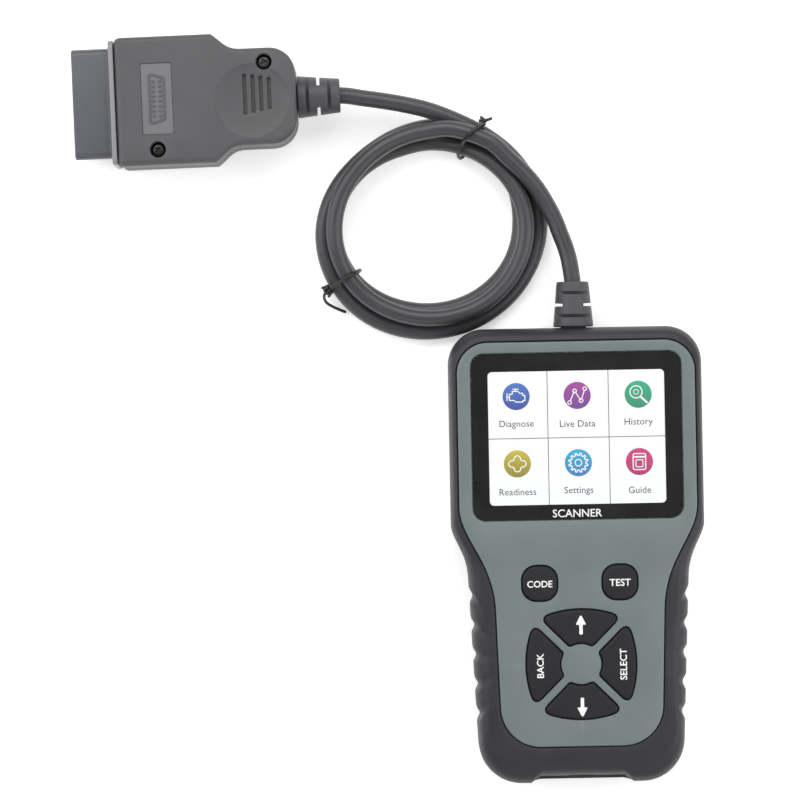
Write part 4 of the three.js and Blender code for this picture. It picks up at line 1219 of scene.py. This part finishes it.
def plug_loop(inset, front=None):
    """The plug's outline less an inset, anticlockwise from its flange end, which may have its own inset."""
    front = inset if front is None else front
    wide, tail, end, corner = (v - inset for v in (PLUG_HALF, PLUG_TAIL_HALF, PLUG_LENGTH, PLUG_TAIL_CORNER))
    start, finish = PLUG_SHOULDER
    small = max(PLUG_FRONT_CORNER - inset, 0.1)
    half = arc(front + small, small - wide, small, 180, 270, 8)[:-1]
    half += line((front + small, -wide), (start, -wide), 24)
    bend = [(start + 3.8, -wide + 2.8), (start + 4.6, -tail - 0.2)]
    half += bezier([(start, -wide), *bend, (finish, -tail)], 20)
    half += line((finish, -tail), (end - corner, -tail), 8)
    half += arc(end - corner, corner - tail, corner, -90, 0, 14)
    half += line((end, corner - tail), (end, 0), 6)[1:]
    flange = line((front, wide - small), (front, small - wide), 12)[1:]
    return half + [(end, 0)] + [(x, -y) for x, y in reversed(half)] + flange


def dish(x, y):
    """Height of the plug's top, with its thumb dish."""
    away = math.dist((x, y), (DISH["x"], DISH["y"])) / DISH["radius"]
    if away >= 1:
        return PLUG_HEIGHT
    return PLUG_HEIGHT - DISH["depth"] * (1 - away ** 2) ** 0.6


def shell_profile(parting, top):
    """(inset, height) going along the outside of a half shell from its parting line to its flat face."""
    step = 1 if top > parting else -1
    profile = [(0.3, parting), (0.05, parting + 0.15 * step), (0, parting + 0.35 * step)]
    return profile + fillet(PLUG_EDGE, top - step * PLUG_EDGE, top, 8)


def in_label(x, y, z):
    """Whether a point of the plug belongs to its label."""
    across, along = abs(x - LABEL["x"]), abs(y - LABEL["y"])
    inside = across < LABEL["w"] / 2 - 0.05 and along < LABEL["h"] / 2 - 0.05
    return inside and LABEL_Z[0] - 0.01 < z < LABEL_Z[1] + 0.01


def paint(piece, material, place, test):
    """Gives a second material to the faces whose middle passes a test in the frame of a placement."""
    piece.data.materials.append(MATERIALS[material])
    back = in_metres(place).inverted()
    for face in piece.data.polygons:
        if test(*(back @ face.center / MM)):
            face.material_index = 1


def add_label(shape):
    """A thin plate in the label's pocket, with a raised picture of a 16-way socket."""
    low, high = LABEL_Z
    x, y = LABEL["x"], LABEL["y"]
    outline = rounded_rectangle(x, y, LABEL["w"] - 0.3, LABEL["h"] - 0.3, 0.5, 4)
    shape.slab([outline], [(0, low), (0, high - 0.03), (0.03, high)])
    raised = [(0, high + 0.01), (0, PLUG_HEIGHT)]
    rim = rounded_polygon([(x - 2.7, y - 8.6), (x + 2.7, y - 7), (x + 2.7, y + 7), (x - 2.7, y + 8.6)], 1, 4)
    shape.slab([rim, hole(shifted(rim, 0.7))], raised)
    for column in range(8):
        for side in (-1, 1):
            way = rounded_rectangle(x + side * 1.05, y + (column - 3.5) * 1.6, 1, 0.8, 0.12, 2)
            shape.slab([way], raised)


def make_plug_top():
    """The upper shell: screw pockets, a label pocket, and a thumb dish crossed by grooves."""
    shape = Shape()
    parting, ceiling = PLUG_PARTING + 0.15, PLUG_HEIGHT - PLUG_FLOOR
    inner = plug_loop(*PLUG_CAVITY)
    rings = [shape.ring(inner, ceiling), shape.ring(inner, parting)]
    for inset, z in shell_profile(parting, PLUG_HEIGHT):
        loop = plug_loop(inset)
        rings.append(shape.ring(loop, [min(z, dish(*p)) for p in loop]))
    shape.join(rings)
    top, low = [rings[-1]], [rings[0]]
    seat = PLUG_SCREW_SEAT - 0.3
    pocket = [(-0.2, PLUG_HEIGHT - 1.1), (-0.25, seat), (-1.4, seat), (-1.4, parting), (-0.1, parting),
              (-0.1, ceiling)]
    for x, y in SCREW_PLACES:
        bore = hole(circle(x, y, 2.7))
        rings = [shape.ring(bore, [dish(*p) for p in bore])]
        rings += [shape.ring(shifted(bore, inset), z) for inset, z in pocket]
        shape.join(rings[::-1])
        top.append(rings[0])
        low.append(rings[-1])
    label = hole(rounded_rectangle(LABEL["x"], LABEL["y"], LABEL["w"], LABEL["h"], 0.6, 4))
    sunk, edge = shape.walls(label, [(0, PLUG_HEIGHT - 0.4), (0, PLUG_HEIGHT - 0.1), (0.1, PLUG_HEIGHT)])
    shape.fill([sunk[::-1]])
    top.append(edge)
    add_label(shape)
    for x, length in GROOVES:
        groove = hole(rounded_rectangle(x, GROOVE["y"], GROOVE["width"], length, 0.5, 5))
        rings = []
        for inset, depth in ((-0.2, GROOVE["depth"]), (0, GROOVE["depth"] - 0.2), (0, 0.05)):
            rings.append(shape.ring(shifted(groove, inset), [dish(*p) - depth for p in groove]))
        lip = shifted(groove, 0.12)
        rings.append(shape.ring(lip, [dish(*p) for p in lip]))
        shape.join(rings)
        shape.fill([rings[0][::-1]])
        top.append(rings[-1])
    shape.fill(top, inner=dish_points(), height=dish)
    shape.fill(low, up=False)
    shell = shape.build("plug_top_cover", "plug_grey", matrix=PLUG, sharp=32)
    paint(shell, "plug_label", PLUG, in_label)
    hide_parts("plug_top_shell")
    return shell


def dish_points():
    """Points in rings over the dish, close together at its rim."""
    points = []
    for share in (1, 0.985, 0.95):
        points += circle(DISH["x"], DISH["y"], DISH["radius"] * share, 72)
    for i in range(1, 21):
        radius = DISH["radius"] * 0.045 * i
        points += circle(DISH["x"], DISH["y"], radius, max(8, int(radius * 7)))
    return [p for p in points if clear_of_pockets(p)]


def clear_of_pockets(point):
    """Whether a point on the plug's top keeps clear of its edge, its screws and its grooves."""
    x, y = point
    if x > PLUG_LENGTH - PLUG_EDGE - 0.4 or any(math.dist(point, s) < 3.2 for s in SCREW_PLACES):
        return False
    return not any(abs(x - gx) < 0.95 and abs(y - GROOVE["y"]) < length / 2 + 0.4 for gx, length in GROOVES)


def make_plug_bottom():
    """The lower shell, with a screw post under each screw and a shallow empty field below."""
    shape = Shape()
    parting = PLUG_PARTING - 0.15
    inner = plug_loop(*PLUG_CAVITY)
    rings = [shape.ring(plug_loop(inset), z) for inset, z in reversed(shell_profile(parting, 0))]
    rings += [shape.ring(inner, parting), shape.ring(inner, PLUG_FLOOR)]
    shape.join(rings)
    low, high = [rings[0]], [rings[-1]]
    for x, y in SCREW_PLACES:
        post, foot = shape.walls(hole(circle(x, y, 2.75, 32)), [(0, parting), (0, PLUG_FLOOR)])
        mouth, depth = shape.walls(hole(circle(x, y, 1.3, 32)), [(0, parting), (0, 5)])
        shape.fill([post[::-1], mouth])
        shape.fill([depth[::-1]])
        high.append(foot)
    field = rounded_rectangle(REAR_FIELD["x"], REAR_FIELD["y"], REAR_FIELD["w"], REAR_FIELD["h"], 0.8, 4)
    sunk, edge = shape.walls(hole(field), [(0.1, 0), (0, 0.12), (0, 0.35)])
    low.append(sunk)
    shape.fill([edge[::-1]], up=False)
    shape.fill(low, up=False)
    shape.fill(high)
    shell = shape.build("plug_bottom_cover", "plug_grey", matrix=PLUG, sharp=32)
    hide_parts("plug_bottom_shell")
    return shell


NOSE = {"mouth": 14.2, "wide": 36.8, "narrow": 31.2, "low": 3.2, "high": 20.8, "wall": 1.7, "corner": 2.2,
        "root": 0.9}
FLANGE_Z = (0.3, 1.9)
FLANGE = {"w": 40.6, "h": PLUG_HEIGHT - 1.2, "r": 2.2}
PINS_FITTED = (2, 4, 5, 6, 7, 10, 14, 15, 16)
PIN_PITCH = 4
PIN_ROW = 4.2  # each row's distance from the plug's middle height
# Width, thickness and height of a pin's sections.
PIN_SECTIONS = ((1.5, 0.8, -2.7), (1.5, 0.8, 8.4), (1.36, 0.7, 8.9), (0.8, 0.36, 9.5))
NOSE_PLACE = PLUG @ Matrix(((0, 0, -1, 0), (-1, 0, 0, 0), (0, 1, 0, 0), (0, 0, 0, 1)))


def rounded_polygon(corners, radius, steps=6):
    """A polygon with its corners rounded, anticlockwise."""
    loop = []
    for i, corner in enumerate(corners):
        c = Vector(corner)
        to_last = (Vector(corners[i - 1]) - c).normalized()
        to_next = (Vector(corners[(i + 1) % len(corners)]) - c).normalized()
        half = to_last.angle(to_next) / 2
        middle = c + (to_last + to_next).normalized() * radius / math.sin(half)
        start, end = c + to_last * radius / math.tan(half), c + to_next * radius / math.tan(half)
        a, b = math.atan2(*(start - middle).yx), math.atan2(*(end - middle).yx)
        while b < a:
            b += 2 * math.pi
        loop += arc(middle.x, middle.y, radius, math.degrees(a), math.degrees(b), steps)
    return loop


def make_nose():
    """A tapered D-shaped tube with its wide side up, on a flange. Heights run towards its mouth."""
    shape = Shape()
    wide, narrow, low, high = NOSE["wide"] / 2, NOSE["narrow"] / 2, NOSE["low"], NOSE["high"]
    outline = rounded_polygon([(-narrow, low), (narrow, low), (wide, high), (-wide, high)], NOSE["corner"])
    back, face = FLANGE_Z
    flange = rounded_rectangle(0, PLUG_HEIGHT / 2, FLANGE["w"], FLANGE["h"], FLANGE["r"])
    edge = [(0.2, back), (0, back + 0.2), (0, face - 0.35), (0.12, face - 0.1), (0.35, face)]
    first, last = shape.walls(flange, edge)
    shape.fill([first], up=False)
    mouth, wall, root = NOSE["mouth"], NOSE["wall"], NOSE["root"]
    turns = [math.pi / 2 * i / 5 for i in range(6)]
    profile = [(-root * (1 - math.sin(t)), face + root * (1 - math.cos(t))) for t in turns]
    profile += [(0, mouth - 0.5)] + fillet(0.5, mouth - 0.5, mouth, 4)[1:]
    profile += [(wall - 0.3, mouth), (wall, mouth - 0.3), (wall, face)]
    foot, floor_ring = shape.walls(outline, profile)
    shape.fill([last, foot[::-1]])
    shape.fill([floor_ring])
    nose = shape.build("plug_nose_moulding", "plug_smooth", matrix=NOSE_PLACE, sharp=40)
    # The flange's faces get the lighter colour, a painted highlight.
    paint(nose, "plug_flange_painted_highlight", NOSE_PLACE, lambda x, y, z: back - 0.05 < z < face + 0.05)
    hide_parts("plug_nose")
    return nose


def make_pins():
    """Bright blades with bevelled tips, one on each fitted way."""
    pins = []
    for number in PINS_FITTED:
        column, row = (number - 1) % 8, 1 if number <= 8 else -1
        y, z = (column - 3.5) * PIN_PITCH, PLUG_HEIGHT / 2 + row * PIN_ROW
        shape = Shape()
        shape.solid([shape.ring(rounded_rectangle(-y, z, wide, thick, 0.12, 2), along)
                     for wide, thick, along in PIN_SECTIONS])
        pin = shape.build(f"blade_{number}", "pin_gold", matrix=NOSE_PLACE)
        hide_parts(f"pin_{number}")
        pins.append(pin)
    return pins


# ---- screws -------------------------------------------------------------------------------------
# Head and shank are radii.
SCREW_GAP = 0.3  # between a head and its seat
COVER_SCREW = {"head": 2.5, "height": 1.8, "shank": 1.2, "length": 11.8}
PLUG_SCREW = {"head": 2.2, "height": 1.8, "shank": 1.1, "length": 11.4}
THREAD_PITCH = 0.75


def make_screw(name, node, size, place):
    """A pan-head screw, head up, with a tapered cross recess. Its head rests at z = 0 of place."""
    shape = Shape()
    head, height, shank, length = (size[key] for key in ("head", "height", "shank", "length"))
    profile = [(0.01, -length), (shank * 0.45, -length), (shank, 1 - length)]
    z = 1.2 - length
    while z < -1:
        profile += [(shank, z), (shank + 0.18, z + 0.25), (shank, z + 0.5)]
        z += THREAD_PITCH
    profile += [(shank, 0), (head - 0.15, 0), (head, 0.15)]
    profile += [(head - inset, z) for inset, z in fillet(head * 0.42, height * 0.45, height, 6)]
    shape.solid([shape.ring(circle(0, 0, r), z) for r, z in profile])
    piece = shape.build(name, "black_steel")
    arm, half, deep = head * 0.56, head * 0.13, height * 0.35
    cross = []
    for quarter in range(4):
        cross += turned([(half, half), (arm, half * 0.8), (arm, -half * 0.8)], -90 * quarter)
    cut(piece, 35, cutter(hole(cross), deep, height + 1))
    piece.data.transform(in_metres(place))
    soften(piece.data, 35)
    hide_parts(node)
    return piece


def make_screws():
    """The handset's four, heads down, and the plug's two. Returns the plug's."""
    for i, (x, y) in enumerate(REAR_SCREWS):
        place = Matrix.Translation((x, y, SCREW_SEAT - SCREW_GAP)) @ Matrix.Rotation(math.pi, 4, "X")
        place @= Matrix.Rotation(0.5 + 1.1 * i, 4, "Z")
        make_screw(f"cover_screw_{i + 1}", f"rear_screw_{i + 1}", COVER_SCREW, place)
    made = []
    for i, (x, y) in enumerate(SCREW_PLACES):
        place = PLUG @ Matrix.Translation((x, y, PLUG_SCREW_SEAT)) @ Matrix.Rotation(0.35 + 0.5 * i, 4, "Z")
        made.append(make_screw(f"plug_fixing_{i + 1}", f"plug_screw_{i + 1}", PLUG_SCREW, place))
    return made


# ---- port socket --------------------------------------------------------------------------------
def make_port_socket():
    """A folded metal sleeve with a plastic tongue inside."""
    low, high = cad_box("usb_socket")
    middle = (low + high) / 2
    along_y = Matrix.Translation((0, high.y, 0)) @ QUARTER_TURN
    width, height, length = high.x - low.x, high.z - low.z, high.y - low.y
    shape = Shape()
    outline = rounded_rectangle(0, middle.z, width, height, 1.05, 6)
    outside = [(0.1, 0), (0, 0.1), (0, length - 0.1), (0.08, length)]
    inside = [(0.3, length), (0.36, length - 0.1), (0.36, 1)]
    shape.slab([outline], outside + inside)
    sleeve = shape.build("port_sleeve", "steel", matrix=along_y)
    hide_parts("usb_socket")
    tongue = rounded_rectangle(0, middle.z + 0.35, width - 2.4, 0.9, 0.25, 3)
    profile = [(0, 0.9), (0, length - 1.4), (0.15, length - 1.2)]
    plate("port_tongue", tongue, profile, "chip_black", matrix=along_y)


# ---- wire ties ----------------------------------------------------------------------------------
TIE_WIRE = 1.2
TIE_TOP = [
    (-28.1, 143.1, 10), (-29, 142.2, 14), (-30.4, 141, 16.7), (-32.3, 139.2, 17.5), (-34, 137.4, 16),
    (-35.4, 135.8, 12.4), (-36.4, 133.8, 9.6), (-36.7, 132.2, 6.5), (-35.8, 131.7, 3), (-34, 133.5, 0.8),
    (-31.3, 137.8, 0.7), (-28.9, 141.7, 0.8), (-27.7, 143.4, 3), (-27.7, 143.5, 7), (-28.1, 143.1, 10),
]
TIE_TOP_TAIL = [(-28.6, 142.5, 12.2), (-27.6, 143.2, 12.9), (-26.6, 143.5, 13), (-25.6, 143.9, 12.6)]
TIE_SIDE = [
    (-69.9, 95, 5), (-70.1, 94.9, 8.8), (-71.6, 94, 12), (-73.9, 92.7, 13.2), (-76.4, 91.2, 12.2),
    (-78.8, 89.8, 10), (-80.6, 88.6, 7.6), (-81.2, 88.2, 4.6), (-80.4, 88.6, 1.8), (-77.8, 90.2, 0.7),
    (-74, 92.5, 0.7), (-71, 94.4, 1.2), (-69.9, 95, 5),
]
TIE_SIDE_TAIL = [
    (-80.4, 88.6, 8.4), (-81.7, 87.3, 7.5), (-81.9, 86, 5.4), (-81.1, 84.5, 3.2), (-78.6, 83, 1.6),
    (-74.9, 81.4, 0.8),
]
KNOT = {"size": 2.2, "turns": 3}


def knot(name, at, lean):
    """The twist where the tie's ends are wound round each other."""
    points = []
    steps = KNOT["turns"] * 8
    for i in range(steps + 1):
        turn = math.pi / 4 * i
        along = (i / steps - 0.5) * KNOT["size"] * 1.6
        across, up = KNOT["size"] * 0.42 * math.cos(turn), KNOT["size"] * 0.42 * math.sin(turn)
        points.append((at[0] + along * math.cos(lean) - across * math.sin(lean),
                       at[1] + along * math.sin(lean) + across * math.cos(lean), at[2] + up))
    return smooth_curve(name, points, TIE_WIRE * 0.42, "tie_vinyl", bevel_steps=4, steps=4)


def make_tie(name, band, tail, knot_at, lean):
    """A wire round the coil, with its knot and the end that stands off it."""
    piece = smooth_curve(f"{name}_band", band, TIE_WIRE / 2, "tie_vinyl", bevel_steps=4, steps=5)
    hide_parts(name)
    more = [smooth_curve(f"{name}_tail", tail, TIE_WIRE * 0.42, "tie_vinyl", bevel_steps=4, steps=5),
            knot(f"{name}_knot", knot_at, lean)]
    for part in more:
        part.parent = piece
        part.matrix_parent_inverse = piece.matrix_world.inverted()
    return piece


handset_relief = make_relief("handset_relief_sleeve", "handset_strain_relief", HANDSET_RELIEF,
                             Matrix.Translation((0, HANDSET_TOP + GAP, EXIT_Z)) @ QUARTER_TURN.inverted())
plug_relief = make_relief("plug_relief_sleeve", "plug_strain_relief", PLUG_RELIEF,
                          PLUG @ Matrix.Translation((PLUG_LENGTH + GAP, 0, PLUG_HEIGHT / 2))
                          @ Matrix(((0, 0, 1, 0), (1, 0, 0, 0), (0, 1, 0, 0), (0, 0, 0, 1))))
plug_pieces = [make_plug_top(), make_plug_bottom(), make_nose()] + make_pins() + make_screws()
ties = [make_tie("tie_top", TIE_TOP, TIE_TOP_TAIL, (-28.8, 142.4, 12), 1.2),
        make_tie("tie_side", TIE_SIDE, TIE_SIDE_TAIL, (-80.6, 88.5, 8), 2.2)]
make_port_socket()


# ---- CAD pieces that stay, with their finishes --------------------------------------------------
KEPT = {
    "circuit_board": ["main_board", "pin_board"],
    "silicone": ["keypad_mat"],
    "natural_plastic": ["lcd_frame", "board_header", "header_plug"],
    "chip_black": ["processor_chip", "memory_chip", "bus_transceiver", "buzzer"],
    "steel": ["clock_crystal", "supply_capacitor", "board_screw_1", "board_screw_2"],
    "cord_pvc": ["inner_wires"],
    "key_carbon": [f"{key}_contact" for key in KEYS],
}
for material, nodes in KEPT.items():
    for node in nodes:
        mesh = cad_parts[node].data
        mesh.materials.clear()
        mesh.materials.append(MATERIALS[material])


# ---- stage and closing --------------------------------------------------------------------------
def make_floor():
    """A large white sheet just under the object."""
    half = FLOOR_SIZE / 2 * MM
    mesh = bpy.data.meshes.new("floor")
    corners = [(-half, -half), (half, -half), (half, half), (-half, half)]
    mesh.from_pydata([(x, y, -0.0002) for x, y in corners], [], [(0, 1, 2, 3)])
    n = Nodes("studio_floor")
    shade = n.mix(n.span(n.noise(60, 2), 0, 1), (0.88, 0.88, 0.88, 1), (0.9, 0.9, 0.9, 1))
    n.link(shade, n.shader.inputs["Base Color"])
    n.set(Roughness=0.75, Specular_IOR_Level=0.2, Emission_Color=WHITE, Emission_Strength=FLOOR_GLOW)
    mesh.materials.append(n.material)
    floor = bpy.data.objects.new("floor", mesh)
    bpy.context.scene.collection.objects.link(floor)


make_floor()
